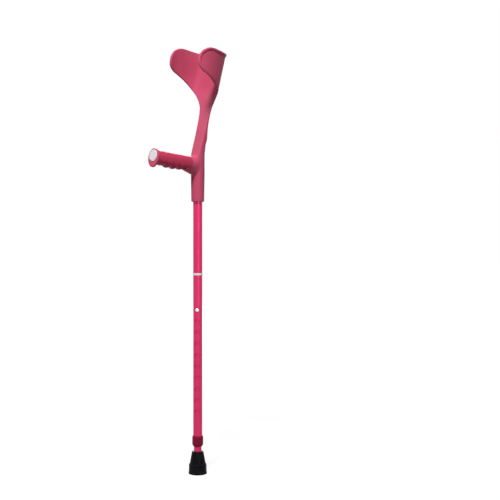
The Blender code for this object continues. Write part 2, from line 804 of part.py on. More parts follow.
def upright_loop(along, pinch=1.0, radius_cut=0.0):
    """Closed ring of points of the upright at a place on its spine."""
    strap = strap_outline(along, pinch)
    lines = len(strap) // 2 - EDGE_STEPS - 1
    circle = socket_outline(along, socket_radius(along) - radius_cut, lines)
    share = ease(along, ROUND_END, SQUARE_START)
    half = [(mix(a[0], b[0], share), mix(a[1], b[1], share)) for a, b in zip(circle, strap)]
    other = [(-side, forward) for side, forward in reversed(half[1:-1])]
    point, ahead = spine_frame(along)
    return [point + Vector((side, 0, 0)) + ahead * forward for side, forward in half + other]


def along_edge(start, end, count):
    """Places on the spine that divide the free edge between two places evenly."""
    fine = [mix(start, end, i / EDGE_FINE_STEPS) for i in range(EDGE_FINE_STEPS + 1)]
    found = [start]
    length = 0.0
    total = sum(edge_step(low, high) for low, high in zip(fine, fine[1:]))
    for low, high in zip(fine, fine[1:]):
        length += edge_step(low, high)
        if length >= total * len(found) / count and len(found) < count:
            found.append(high)
    return found + [end]


def edge_step(low, high):
    return math.hypot(high - low, half_width(high) - half_width(low))


def upright_stations():
    """Places along the spine, closer together where the outline changes fast."""
    found = [SOCKET_ROUND, SOCKET_LENGTH, (SOCKET_LENGTH + ROUND_END) / 2]
    found += [mix(ROUND_END, SQUARE_START, i / BEND_RINGS) for i in range(BEND_RINGS)]
    found += [mix(SQUARE_START, WING_START, i / ARM_RINGS) for i in range(ARM_RINGS)]
    found += along_edge(WING_START, WING_TIP, WING_RINGS)
    corner_start = UPRIGHT_LENGTH - WING_CORNER_HEIGHT
    found.append((WING_TIP + corner_start) / 2)
    bead = UPRIGHT_LENGTH - BEAD_WIDTH
    for i in range(WING_CORNER_RINGS):
        turn = i / (WING_CORNER_RINGS + 1) * math.pi / 2
        place = corner_start + WING_CORNER_HEIGHT * math.sin(turn)
        if place < bead - 2 * BEAD_STEP:
            found.append(place)
    return found + [bead - BEAD_STEP, bead, (bead + UPRIGHT_LENGTH) / 2, UPRIGHT_LENGTH - RIM_ROUND]


def upright():
    """Socket, arm and cuff as one skin, closed by a flat ring below and a rounded rim above."""
    loops = []
    for i in range(SOCKET_ROUND_RINGS):
        turn = i / SOCKET_ROUND_RINGS * math.pi / 2
        cut = SOCKET_ROUND * (1 - math.sin(turn))
        loops.append(upright_loop(SOCKET_ROUND * (1 - math.cos(turn)), radius_cut=cut))
    loops += [upright_loop(place) for place in upright_stations()]
    for share in RIM_RINGS:
        place = UPRIGHT_LENGTH - RIM_ROUND * (1 - share)
        loops.append(upright_loop(place, pinch=max(math.sqrt(1 - share * share), RIM_FLAT)))
    shape, rings = loft(loops, cap_end=False)
    rim = rings[-1]
    count = len(rim)
    ends = (count // 2 + 1) // 2 - 1
    pairs = [(i % count, (count // 2 - i) % count) for i in range(ends + 1)]
    pairs = [(-a % count, -b % count) for a, b in reversed(pairs[1:])] + pairs
    for (a, b), (c, d) in zip(pairs, pairs[1:]):
        shape.faces.new((rim[a], rim[c], rim[d], rim[b]))
    return add_object("handle_moulding", shape, PINK_MOULDING)


def grip_point(side, height, distance):
    """Point of the grip: sideways, up from its axis, and along its axis from the tube."""
    along = Vector((0, -math.cos(GRIP_TILT), math.sin(GRIP_TILT)))
    up = Vector((0, math.sin(GRIP_TILT), math.cos(GRIP_TILT)))
    root = Vector((0, 0, GRIP_ROOT_Z))
    return root + along * distance + up * height + Vector((side, 0, 0))


def oval(half_w, top, bottom, count, offset=0.0):
    """Closed rounded outline with separate heights above and below its centre."""
    found = []
    for i in range(count):
        turn = (i + offset) / count * math.tau
        c = math.cos(turn)
        s = math.sin(turn)
        side = half_w * math.copysign(abs(c) ** (2 / GRIP_SQUARENESS), c)
        reach = top if s > 0 else bottom
        found.append((side, reach * math.copysign(abs(s) ** (2 / GRIP_SQUARENESS), s)))
    return found


def egg(grow, count):
    """Outline of the grip's end flange: an oval, wider above than below."""
    middle = (FLANGE_TOP - FLANGE_BOTTOM) / 2
    half_h = (FLANGE_TOP + FLANGE_BOTTOM) / 2 + grow
    half_w = FLANGE_HALF_W + grow
    found = []
    for i in range(count):
        turn = i / count * math.tau
        taper = 1 + FLANGE_TAPER * math.sin(turn)
        found.append((half_w * taper * math.cos(turn), middle + half_h * math.sin(turn)))
    return found


def grip_core():
    """Core bar under the sleeve, from the middle of the socket into the flange."""
    height = GRIP_CORE_HALF_H
    outline = oval(GRIP_CORE_HALF_W, height, height, GRIP_CORE_COUNT, offset=0.5)
    ends = (GRIP_CORE_START, FLANGE_FACE - FLANGE_THICKNESS / 2)
    loops = [[grip_point(side, up, place) for side, up in outline] for place in ends]
    return add_cutter("grip_core", loft(loops)[0])


def grip_flange():
    """Egg-shaped end plate with bevelled edges."""
    stations = (
        (FLANGE_FACE - FLANGE_THICKNESS, -FLANGE_BEVEL),
        (FLANGE_FACE - FLANGE_THICKNESS + FLANGE_BEVEL, 0.0),
        (FLANGE_FACE - FLANGE_BEVEL, 0.0),
        (FLANGE_FACE, -FLANGE_BEVEL),
    )
    loops = []
    for place, grow in stations:
        loops.append([grip_point(side, up, place) for side, up in egg(grow, FLANGE_COUNT)])
    return add_cutter("grip_flange", loft(loops)[0])


def sleeve_rear(height):
    """Distance of the sleeve's rear end: square above, slanting forward below the middle."""
    drop = (math.hypot(height, SLEEVE_REAR_BLEND) - height) / 2
    return SLEEVE_REAR + SLEEVE_REAR_SLANT * drop


def socket_face(around, along, sink=0.0):
    """Point of the upright's surface at a turn from its front, sunk below it by a depth."""
    radius = socket_radius(along) - sink
    point, forward = spine_frame(along)
    reach = min(radius * math.cos(around), front_reach(along) - sink)
    return point + forward * reach + Vector((radius * math.sin(around), 0, 0))


def root_end(turn):
    """Where the root runs out on the upright, and the direction in which it does."""
    level = math.sin(turn)
    across = abs(math.cos(turn))
    if level > 0:
        around = across ** ROOT_SQUARE * math.pi / 2
        along = mix(ROOT_MIDDLE, ROOT_TOP, level ** ROOT_RISE)
        rise = min(level / math.sin(ROOT_CREASE), 1)
    else:
        around = across * math.pi / 2
        along = mix(ROOT_MIDDLE, ROOT_BOTTOM, -level)
        rise = level
    around = math.copysign(around, math.cos(turn))
    step = math.copysign(NUDGE_TURN, math.cos(turn))
    point = socket_face(around, along, ROOT_SINK)
    up = socket_face(around, along + NUDGE) - socket_face(around, along - NUDGE)
    back = socket_face(around + step, along) - socket_face(around, along)
    heading = up.normalized() * rise + back.normalized() * math.sqrt(1 - rise * rise)
    return point, heading.normalized()


def root_curve(side, up, turn):
    """Control points of one line of the root, from the sleeve's end to the upright."""
    start = grip_point(side, up, sleeve_rear(up) - ROOT_BEHIND_SLEEVE)
    end, heading = root_end(turn)
    axis = (grip_point(0, 0, 0) - grip_point(0, 0, 1)).normalized()
    web = ease(-math.sin(turn), 0, 1)
    length = (end - start).length
    first = mix(ROOT_SIDE_HANDLES[0], ROOT_WEB_HANDLES[0], web) * length
    last = mix(ROOT_SIDE_HANDLES[1], ROOT_WEB_HANDLES[1], web) * length
    leaving = axis.lerp((end - start).normalized(), web).normalized()
    return start, start + leaving * first, end - heading * last, end


def bezier(points, share):
    while len(points) > 1:
        points = [a.lerp(b, share) for a, b in zip(points, points[1:])]
    return points[0]


def root_shape():
    """Root between the grip and the upright: tangent to both, with a straight web below."""
    count = ROOT_COUNT
    outline = oval(
        SLEEVE_HALF_W - ROOT_INSET, SLEEVE_TOP - ROOT_INSET, SLEEVE_BOTTOM_REAR - ROOT_INSET, count
    )
    curves = [root_curve(*outline[i], i / count * math.tau) for i in range(count)]
    loops = [[bezier(curve, i / ROOT_STEPS) for curve in curves] for i in range(ROOT_STEPS + 1)]
    loops.append([point.lerp(Vector((0, 0, point.z)), ROOT_ANCHOR) for point in loops[-1]])
    shape, rings = loft(loops, cap_start=False)
    face = rings[0]
    quarter = count // 4
    for i in range(quarter, -quarter, -1):
        pair = (i % count, (i - 1) % count, (count // 2 - i + 1) % count, (count // 2 - i) % count)
        corners = list(dict.fromkeys(face[index] for index in pair))
        shape.faces.new(corners)
    return add_cutter("grip_root", shape)


def disc_place(distance):
    """Transform at the disc's centre, pointing out along the grip."""
    centre = grip_point(0, DISC_CENTRE, distance)
    ahead = grip_point(0, DISC_CENTRE, distance + 1) - centre
    return aim(ahead, centre)


def handle_moulding():
    item = upright()
    for addition in (root_shape(), grip_core(), grip_flange()):
        combine(item, addition, "UNION")
    bore_bottom = SOCKET_BOTTOM_Z - CUTTER_OVERRUN
    bore_length = OUTER_TUBE_TOP_Z + GAP - bore_bottom
    place = Matrix.Translation((0, 0, bore_bottom))
    bore = cylinder(2 * SOCKET_BORE_R, bore_length, TUBE_SEGMENTS, place)
    combine(item, add_cutter("socket_bore_cutter", bore), "DIFFERENCE")
    recess_depth = DISC_RECESS + GAP
    place = disc_place(FLANGE_FACE - recess_depth)
    recess = cylinder(DISC_D + 2 * GAP, recess_depth + CUTTER_OVERRUN, DISC_SEGMENTS, place)
    combine(item, add_cutter("disc_recess_cutter", recess), "DIFFERENCE")
    combine(item, rivet_hole(), "DIFFERENCE")


def grip_end_disc():
    """Plain round disc set into the grip's end."""
    radius = DISC_D / 2
    profile = (
        (0, 0),
        (radius, 0),
        (radius, DISC_THICKNESS - SMALL_EDGE),
        (radius - SMALL_EDGE, DISC_THICKNESS),
        (0, DISC_THICKNESS),
    )
    item = add_object("grip_end_disc", turned(profile, DISC_SEGMENTS, False), WHITE_FILM)
    item.matrix_world = disc_place(FLANGE_FACE - DISC_RECESS)


def finger_cut(distance, height):
    """Depth of the finger grooves, each starting under an arch on the sleeve's side."""
    place = (distance - GROOVE_FIRST) / GROOVE_PITCH
    if not -0.5 < place < GROOVE_COUNT - 0.5:
        return 0.0
    middle = 0.5 + 0.5 * math.cos(place * math.tau)
    arch = mix(ARCH_FOOT, ARCH_TOP, middle)
    return GROOVE_DEPTH * middle * ease(arch - height, 0, ARCH_RUN)


def grip_sleeve():
    """Soft sleeve with a plain bore, a smooth top and four finger grooves underneath."""
    front = FLANGE_FACE - FLANGE_THICKNESS - GAP
    count = SLEEVE_COUNT
    loops = []
    for i in range(SLEEVE_STEPS + 1):
        share = i / SLEEVE_STEPS
        inset = SLEEVE_EDGE if i in (0, SLEEVE_STEPS) else 0
        bottom = through_keys(SLEEVE_BELLY, mix(SLEEVE_REAR, front, share))
        loop = []
        for side, up in oval(SLEEVE_HALF_W - inset, SLEEVE_TOP - inset, bottom - inset, count):
            place = mix(sleeve_rear(up), front, share)
            shrink = 1 - finger_cut(place, up) / math.hypot(side, up)
            loop.append(grip_point(side * shrink, up * shrink, place))
        loops.append(loop)
    bore = oval(GRIP_CORE_HALF_W + GAP, GRIP_CORE_HALF_H + GAP, GRIP_CORE_HALF_H + GAP, count)
    for share in (1, 0):
        loops.append([grip_point(s, u, mix(sleeve_rear(u), front, share)) for s, u in bore])
    shape, rings = loft(loops, cap_start=False, cap_end=False)
    for i in range(count):
        j = (i + 1) % count
        shape.faces.new((rings[-1][i], rings[-1][j], rings[0][j], rings[0][i]))
    add_object("grip_sleeve", shape, PINK_SOFT)


def socket_rivet():
    """Domed rivet that holds the tube in the socket, with its tail inside the tube."""
    head_seat = SOCKET_TOP_R + GAP
    tube_inside = OUTER_TUBE_BORE_D / 2
    shank = RIVET_SHANK_D / 2
    profile = [
        (0, tube_inside - RIVET_TAIL),
        (shank, tube_inside - RIVET_TAIL),
        (shank, head_seat),
    ]
    profile += dome(RIVET_HEAD_D / 2, RIVET_HEAD_HEIGHT, head_seat)
    item = add_object("socket_rivet", turned(profile, ROUND_SEGMENTS, False), BRIGHT_METAL)
    item.matrix_world = rivet_frame(0)


def main():
    clear_scene()
    handle_moulding()
    grip_sleeve()
    grip_end_disc()
    socket_rivet()
    outer_tube()
    reflective_band()
    inner_tube()
    inner_tube_plug()
    snap_button()
    button_spring()
    locking_collar()
    clamp_ring()
    ferrule()
    foot_disc()


main()
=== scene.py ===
"""Forearm crutch: finished surfaces, studio light and the photograph's camera."""
import math

import bmesh
import bpy
from mathutils import Matrix, Vector

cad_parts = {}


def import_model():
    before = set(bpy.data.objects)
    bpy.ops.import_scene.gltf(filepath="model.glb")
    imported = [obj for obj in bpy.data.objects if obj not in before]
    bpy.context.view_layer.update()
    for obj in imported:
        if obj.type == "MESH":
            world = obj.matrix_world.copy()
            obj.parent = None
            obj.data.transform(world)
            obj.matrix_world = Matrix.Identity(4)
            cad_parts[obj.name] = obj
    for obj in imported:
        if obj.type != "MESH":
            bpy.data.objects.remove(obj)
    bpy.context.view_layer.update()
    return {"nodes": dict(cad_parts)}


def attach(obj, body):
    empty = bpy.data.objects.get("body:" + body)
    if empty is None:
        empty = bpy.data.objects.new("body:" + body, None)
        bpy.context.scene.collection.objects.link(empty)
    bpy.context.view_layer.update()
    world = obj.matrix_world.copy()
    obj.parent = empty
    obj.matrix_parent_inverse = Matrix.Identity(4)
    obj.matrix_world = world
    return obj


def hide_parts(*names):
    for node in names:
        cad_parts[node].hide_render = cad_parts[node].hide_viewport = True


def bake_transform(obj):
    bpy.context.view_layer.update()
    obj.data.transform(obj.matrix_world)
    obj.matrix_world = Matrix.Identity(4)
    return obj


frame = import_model()
SCENE = bpy.context.scene

# Camera: place, turn and lens of the photograph's view
CAMERA_PLACE = (2.4513, -2.0569, 0.8100)
CAMERA_HEADING = math.radians(47.965)
CAMERA_PITCH = math.radians(-5.617)
CAMERA_ROLL = math.radians(0.199)
CAMERA_LENS = 106.44
SENSOR = 36.0

# Rounding of turned pieces: most of an edge that a corner may take, and its steps
CORNER_SHARE = 0.45
CORNER_CURVE_STEPS = 5

# Fine detail that only the finished surfaces carry
DISC_GROOVE_R = 0.0108
DISC_GROOVE_WIDTH = 0.0007
DISC_GROOVE_DEPTH = 0.0003
BEAD_GROOVE = 0.0006
COLLAR_ROUND = 0.0006
FLUTE_FADE = 0.0012

# Faces of a drilled tube that are shaded as a true cylinder: how squarely they face its
# axis, how far their normal may lean, and how far a corner may be off the round surface
TUBE_FACING = 0.9
TUBE_LEAN = 0.01
FACET_DEPTH = 0.0001

# Floor: its glow grows from the object outwards, over this range of distances
FLOOR_SIZE = 60.0
FLOOR_DROP = 0.0005
FLOOR_COLOUR = (0.2, 0.2, 0.2)
FLOOR_GLOW = (0.84, 1.0)
FLOOR_GLOW_RANGE = (0.6, 2.6)

# Light: strength of the even fill and of the white that is seen, and then the name, place,
# target, size and watts of each lamp
FILL_STRENGTH = 0.05
SEEN_STRENGTH = 1.0
WHITE = (1, 1, 1)
LAMPS = (
    ("key_softbox", (0.90, -1.30, 3.1), (0, 0, 0.5), (0.5, 0.5), 104),
    ("right_strip", (2.70, -0.90, 0.8), (0, 0, 0.5), (0.14, 2.0), 18),
    ("left_softbox", (-2.0, -1.6, 1.4), (0, 0, 0.8), (0.7, 0.7), 5),
    ("back_softbox", (-1.95, 1.65, 1.3), (0, 0, 0.5), (1.2, 1.6), 40),
)

# Clearance between faces that touch on the real object
GAP = 0.0003

# Values shared by many pieces
SMALL_EDGE = 0.0003
SHARP_ANGLE = math.radians(35)
CUTTER_OVERRUN = 0.0050
SAME_PLACE = 1e-7
TOUCH = 1e-5
ROUND_SEGMENTS = 64
DOME_STEPS = 12

# Tubes of the leg
OUTER_TUBE_D = 0.0200
OUTER_TUBE_WALL = 0.0012
OUTER_TUBE_BOTTOM_Z = 0.0720
OUTER_TUBE_TOP_Z = 0.6850
INNER_TUBE_WALL = 0.0012
INNER_TUBE_ABOVE_BUTTON = 0.0340
TUBE_SEGMENTS = 128

# Height setting: a row of holes in the outer tube, and one button
HOLE_COUNT = 10
HOLE_PITCH = 0.0250
HOLE_D = 0.0100
TOP_HOLE_Z = 0.3650
HOLE_TURN = math.radians(43)
HOLE_SEGMENTS = 72
BUTTON_D = 0.0078
BUTTON_PROUD = 0.0026
BUTTON_HOLE_D = 0.0086
BUTTON_DOME = 0.0016
BUTTON_FLANGE_D = 0.0094
BUTTON_FLANGE_PLAY = 0.0009
BUTTON_FLANGE_THICKNESS = 0.0008

# Spring strip that carries the button
STRIP_THICKNESS = 0.0005
STRIP_WIDTH = 0.0060
STRIP_ABOVE_BUTTON = 0.0070
STRIP_BELOW_BUTTON = 0.0360
STRIP_BEND_STEPS = 24
STRIP_CORNERS = ((0, -1), (0, 1), (1, 1), (1, -1))

# Reflective band round the outer tube
BAND_Z = 0.4430
BAND_HEIGHT = 0.0050
BAND_THICKNESS = 0.0004

# Locking collar and the split clamp ring inside it
COLLAR_BELOW_TUBE = 0.0105
COLLAR_HEIGHT = 0.0235
COLLAR_WALL = 0.0018
COLLAR_SHOULDER = 0.0032
COLLAR_FOOT = 0.0038
COLLAR_FOOT_WALL = 0.0010
COLLAR_LIP = 0.0028
COLLAR_RIM = 0.0008
COLLAR_FLUTES = 16
COLLAR_FLUTE_DEPTH = 0.0004
COLLAR_SEGMENTS = 256
CLAMP_RING_TAPER = 0.0020

# Rubber ferrule and the steel disc under the inner tube
FERRULE_HEIGHT = 0.0500
FERRULE_TOP_WALL = 0.0038
FERRULE_STEP_Z = 0.0215
FERRULE_STEP_WALL = 0.0088
FERRULE_SKIRT_WALL = 0.0105
FERRULE_SOLE_WALL = 0.0114
FERRULE_FLOOR = 0.0120
FERRULE_LIP_Z = 0.0038
FERRULE_EDGE = 0.0008
FERRULE_EDGE_RISE = 0.0010
FERRULE_LIP_FILLET = (0.0003, 0.0012)
SOLE_GROOVE_DEPTH = 0.0016
SOLE_GROOVE_WIDTH = 0.0022
SOLE_GROOVES = (0.0080, 0.0128)
FOOT_DISC_THICKNESS = 0.0015
FERRULE_SEGMENTS = 128

# Upright of the handle moulding: a round socket, and a strap that leans out of its top.
# The strap's front face is flat, and the socket's back runs straight up until it meets
# the strap's back.
SOCKET_BOTTOM_Z = 0.6000
SOCKET_BOTTOM_WALL = 0.0037
SOCKET_TOP_WALL = 0.0047
SOCKET_ROUND = 0.0024
SOCKET_LENGTH = 0.0620
BEND_START = 0.0950
BEND_RADIUS = 0.1780
ARM_LEAN = math.radians(15.9)
UPRIGHT_LENGTH = 0.3224
CUFF_WALL = 0.0036
ROUND_END = 0.1000
SQUARE_START = 0.1450
FRONT_SWELL = 0.0010
BACK_BLEND = 0.0075
ARM_BACK_EDGE = 0.0040
ARM_FRONT_EDGE = 0.0016
CUFF_EDGE_START = 0.1900
CUFF_EDGE_END = 0.2300
EDGE_SHARE = 0.47

# On the narrow arm these shares of the half width stand in for the cuff's own lengths
NARROW_BACK = 0.40
NARROW_CORNER = 0.55
NARROW_BEAD_STEP = 0.40
NARROW_BEAD = 0.33
NARROW_EDGE = 0.30

# Cross-section of the cuff, from the middle of its back round to a wing
BACK_RADIUS = 0.0757
BACK_HALF = 0.0341
CORNER_LENGTH = 0.0127
WING_ANGLE = math.radians(68.5)
WING_RADIUS = 0.1140
BOW_START = 0.1550
BOW_END = 0.2330
STEEPEST_EDGE = 6.0
FLAT_LIMIT = 0.8

# Free edge of the arm and wing: distance up the spine, half width round the surface
EDGE_KEYS = (
    (0.1050, 0.0140), (0.1240, 0.0144), (0.1420, 0.0150), (0.1600, 0.0152),
    (0.1777, 0.0155), (0.1870, 0.0161), (0.1970, 0.0172), (0.2070, 0.0194),
    (0.2144, 0.0232), (0.2227, 0.0286), (0.2310, 0.0352), (0.2386, 0.0432),
    (0.2456, 0.0524), (0.2524, 0.0633), (0.2582, 0.0750), (0.2629, 0.0881),
    (0.2669, 0.1012), (0.2726, 0.1108), (0.2804, 0.1168), (0.2964, 0.1190),
)
WING_CORNER_HEIGHT = 0.0315
WING_CORNER_REACH = 0.0370
WING_START = 0.2000
WING_TIP = 0.2740

# Steps round half of the upright's outline, and rings up its spine
BACK_STEPS = 10
CORNER_STEPS = 8
WING_STEPS = 16
EDGE_STEPS = 8
BEAD_STEP_LINES = 8
BEAD_LINES = 4
SOCKET_ROUND_RINGS = 8
SOCKET_RINGS = 6
BEND_RINGS = 16
ARM_RINGS = 10
WING_RINGS = 64
EDGE_FINE_STEPS = 400
TIP_RINGS = 4
WING_CORNER_RINGS = 30
RIM_RINGS = (0.2, 0.4, 0.6, 0.75, 0.87, 0.95, 1.0)
RIM_FLAT = 0.3

# Rolled bead along the free edge of the cuff
BEAD_WIDTH = 0.0046
BEAD_STEP = 0.0010
BEAD_HEIGHT = 0.0016
BEAD_START = 0.2340
BEAD_END = 0.2620
RIM_ROUND = 0.0016

# Grip: its axis leaves the tube axis and rises to the front
GRIP_ROOT_Z = 0.6775
GRIP_TILT = math.radians(9.5)
GRIP_CORE_HALF_W = 0.0105
GRIP_CORE_HALF_H = 0.0090
GRIP_CORE_START = 0.0040
GRIP_CORE_COUNT = 96
GRIP_SQUARENESS = 2.3
GRIP_SEGMENTS = 144
FLANGE_FACE = 0.1250
FLANGE_THICKNESS = 0.0045
FLANGE_HALF_W = 0.0162
FLANGE_TOP = 0.0205
FLANGE_BOTTOM = 0.0200
FLANGE_TAPER = 0.04
FLANGE_BEVEL = 0.0010
FLANGE_ROUND_STEPS = 6
DISC_D = 0.0250
DISC_CENTRE = 0.0055
DISC_THICKNESS = 0.0016
DISC_RECESS = 0.0012

# Soft sleeve on the grip, with finger grooves that start under arches on its sides
SLEEVE_HALF_W = 0.0152
SLEEVE_TOP = 0.0175
SLEEVE_REAR = 0.0265
SLEEVE_BOTTOM_REAR = 0.0145
SLEEVE_BELLY = (
    (SLEEVE_REAR, SLEEVE_BOTTOM_REAR),
    (0.0680, 0.0168),
    (0.0900, 0.0153),
    (0.1200, 0.0117),
)
SLEEVE_REAR_SLANT = 1.0
SLEEVE_REAR_BLEND = 0.0040
SLEEVE_EDGE = 0.0012
SLEEVE_END_STEPS = 6
SLEEVE_STEPS = 220
GROOVE_COUNT = 4
GROOVE_PITCH = 0.0180
GROOVE_FIRST = 0.0430
GROOVE_DEPTH = 0.0030
ARCH_TOP = -0.0020
ARCH_FOOT = -0.0105
ARCH_RUN = 0.0075

# Root that flows from the sleeve's rear end into the upright, places along the spine
ROOT_INSET = 0.0010
ROOT_SINK = 0.0003
ROOT_BEHIND_SLEEVE = 1.5 * GAP
ROOT_ANCHOR = 0.6
ROOT_TOP = 0.1085
ROOT_MIDDLE = 0.0820
ROOT_BOTTOM = 0.0560
ROOT_SQUARE = 2.4
ROOT_RISE = 0.6
ROOT_CREASE = math.radians(40)
ROOT_SIDE_HANDLES = (0.45, 0.40)
ROOT_WEB_HANDLES = (0.80, 0.12)
ROOT_STEPS = 32
ROOT_COUNT = 128
NUDGE = 0.0002
NUDGE_TURN = 0.01

# Rivet through the back of the socket
RIVET_Z = 0.6330
RIVET_SHANK_D = 0.0040
RIVET_HEAD_D = 0.0080
RIVET_HEAD_HEIGHT = 0.0014
RIVET_TAIL = 0.0016

# Sizes that follow from the ones above
OUTER_TUBE_BORE_D = OUTER_TUBE_D - 2 * OUTER_TUBE_WALL
INNER_TUBE_D = OUTER_TUBE_BORE_D - 2 * GAP
INNER_TUBE_BORE_D = INNER_TUBE_D - 2 * INNER_TUBE_WALL
BUTTON_FLANGE_REACH = math.sqrt(INNER_TUBE_BORE_D ** 2 - BUTTON_FLANGE_D ** 2) / 2
BUTTON_FLANGE_TOP = BUTTON_FLANGE_REACH - BUTTON_FLANGE_PLAY
INNER_TUBE_BOTTOM_Z = FERRULE_FLOOR + FOOT_DISC_THICKNESS + 2 * GAP
INNER_TUBE_TOP_Z = TOP_HOLE_Z + INNER_TUBE_ABOVE_BUTTON
HOLE_DIRECTION = Vector((math.sin(HOLE_TURN), -math.cos(HOLE_TURN), 0))
BUTTON_TIP = OUTER_TUBE_D / 2 + BUTTON_PROUD
SOCKET_BORE_R = OUTER_TUBE_D / 2 + GAP
SOCKET_BOTTOM_R = SOCKET_BORE_R + SOCKET_BOTTOM_WALL
SOCKET_TOP_R = SOCKET_BORE_R + SOCKET_TOP_WALL
COLLAR_BOTTOM_Z = OUTER_TUBE_BOTTOM_Z - COLLAR_BELOW_TUBE
COLLAR_BORE_R = OUTER_TUBE_D / 2 + GAP
COLLAR_FOOT_BORE_R = INNER_TUBE_D / 2 + GAP
SLEEVE_FRONT = FLANGE_FACE - FLANGE_THICKNESS - GAP

# Noises of the finishes: scale, detail and roughness
DRIFT = (14, 2, 0.5)
STIPPLE = (2600, 2, 0.6)
SCUFFS = (90, 6, 0.65)
DRAWN_LINES = (3000, 2, 0.5)
TUBE_DRIFT = (20, 2, 0.5)
RUBBER_GRAIN = (1800, 3, 0.6)
DUST = (60, 5, 0.6)
METAL_MARKS = (400, 4, 0.5)

# Scales of the coordinates: a small one along Z draws a noise out along the crutch
EVEN = (1, 1, 1)
SCUFF_STRETCH = (1, 1, 0.25)
LINE_STRETCH = (1, 1, 0.004)
DRIFT_STRETCH = (1, 1, 0.3)

# Part of a noise's range that is used, and what it does to the roughness or the colour
MIDDLE = (0.3, 0.7)
SCUFF_RANGE = (0.35, 0.75)
DUST_RANGE = (0.45, 0.75)
PLASTIC_GLOSS = (-0.04, 0.07)
TUBE_GLOSS = (-0.04, 0.06)
RUBBER_GLOSS = (-0.06, 0.10)
METAL_GLOSS = (-0.05, 0.08)
DUST_COVER = (0, 0.7)
DUST_TONE = 0.012

# Depth of the grain in metres, strength of the bumps, and shine
PLASTIC_GRAIN = 0.00002
SOFT_GRAIN = 0.00004
RUBBER_DEPTH = 0.00003
LINE_DEPTH = 0.000004
LINE_STRENGTH = 0.5
BUMP_STRENGTH = 0.6
RUBBER_SHINE = 0.04
TUBE_SHINE = 0.1
TUBE_METAL = 0.35

# Sockets of the colour mix node, by number because other sockets there have their names
MIX_FIRST = 6
MIX_SECOND = 7
MIX_RESULT = 2


class Nodes:
    """Short way to add and join the shader nodes of a material or a world."""

    def __init__(self, owner):
        owner.use_nodes = True
        self.owner = owner
        self.tree = owner.node_tree
        self.tree.nodes.clear()

    def add(self, kind, inputs=None, **settings):
        """Add a node, give its inputs a value or a link, and return its outputs."""
        node = self.tree.nodes.new(kind)
        for key, value in settings.items():
            setattr(node, key, value)
        for key, value in (inputs or {}).items():
            socket = node.inputs[key]
            if isinstance(value, bpy.types.NodeSocket):
                self.tree.links.new(value, socket)
            elif socket.type == "RGBA":
                socket.default_value = (*value, 1)
            else:
                socket.default_value = value
        return node.outputs

    def coords(self, stretch=EVEN):
        place = self.add("ShaderNodeTexCoord")["Object"]
        return self.add("ShaderNodeMapping", {"Vector": place, "Scale": stretch})["Vector"]

    def noise(self, kind, stretch=EVEN):
        inputs = dict(zip(("Scale", "Detail", "Roughness"), kind), Vector=self.coords(stretch))
        return self.add("ShaderNodeTexNoise", inputs)["Fac"]

    def spread(self, value, used, change=(0, 1), base=0):
        """Turn the used range of a value into a change of a base value."""
        inputs = {
            "Value": value, "From Min": used[0], "From Max": used[1],
            "To Min": base + change[0], "To Max": base + change[1],
        }
        return self.add("ShaderNodeMapRange", inputs)["Result"]

    def blend_colours(self, factor, first, second):
        inputs = {"Factor": factor, MIX_FIRST: first, MIX_SECOND: second}
        return self.add("ShaderNodeMix", inputs, data_type="RGBA")[MIX_RESULT]

    def bump(self, height, distance, strength):
        inputs = {"Height": height, "Distance": distance, "Strength": strength}
        return self.add("ShaderNodeBump", inputs)["Normal"]

    def principled(self, inputs):
        shader = self.add("ShaderNodeBsdfPrincipled", inputs)[0]
        self.add("ShaderNodeOutputMaterial", {"Surface": shader})
        return self.owner

    def show_white(self, lit, white, output):
        """Use the lit shader as light, and the white one for the camera and reflections."""
        path = self.add("ShaderNodeLightPath")
        seen = path["Is Camera Ray"]
        for ray in ("Is Glossy Ray", "Is Transmission Ray"):
            seen = self.add("ShaderNodeMath", {0: seen, 1: path[ray]}, operation="MAXIMUM")[0]
        shader = self.add("ShaderNodeMixShader", {0: seen, 1: lit, 2: white})[0]
        self.add(output, {"Surface": shader})


def moulded_plastic(name, colour, deep, roughness, shine, grain=PLASTIC_GRAIN):
    """Moulded plastic: fine stipple, slow colour drift and faint handling marks."""
    n = Nodes(bpy.data.materials.new(name))
    scuffs = n.noise(SCUFFS, SCUFF_STRETCH)
    return n.principled({
        "Base Color": n.blend_colours(n.spread(n.noise(DRIFT), MIDDLE), deep, colour),
        "Roughness": n.spread(scuffs, SCUFF_RANGE, PLASTIC_GLOSS, roughness),
        "Specular IOR Level": shine,
        "Normal": n.bump(n.noise(STIPPLE), grain, BUMP_STRENGTH),
    })


def anodised_tube(name, colour, deep, roughness):
    """Drawn and anodised tube: fine lines along its length."""
    n = Nodes(bpy.data.materials.new(name))
    lines = n.noise(DRAWN_LINES, LINE_STRETCH)
    drift = n.noise(TUBE_DRIFT, DRIFT_STRETCH)
    return n.principled({
        "Base Color": n.blend_colours(n.spread(drift, MIDDLE), deep, colour),
        "Roughness": n.spread(lines, MIDDLE, TUBE_GLOSS, roughness),
        "Metallic": TUBE_METAL,
        "Specular IOR Level": TUBE_SHINE,
        "Normal": n.bump(lines, LINE_DEPTH, LINE_STRENGTH),
    })


def rubber(name, colour, roughness):
    """Black rubber with a fine grain and a little dust."""
    n = Nodes(bpy.data.materials.new(name))
    dust = n.noise(DUST)
    grey = tuple(part + DUST_TONE for part in colour)
    return n.principled({
        "Base Color": n.blend_colours(n.spread(dust, DUST_RANGE, DUST_COVER), colour, grey),
        "Roughness": n.spread(dust, MIDDLE, RUBBER_GLOSS, roughness),
        "Specular IOR Level": RUBBER_SHINE,
        "Normal": n.bump(n.noise(RUBBER_GRAIN), RUBBER_DEPTH, BUMP_STRENGTH),
    })


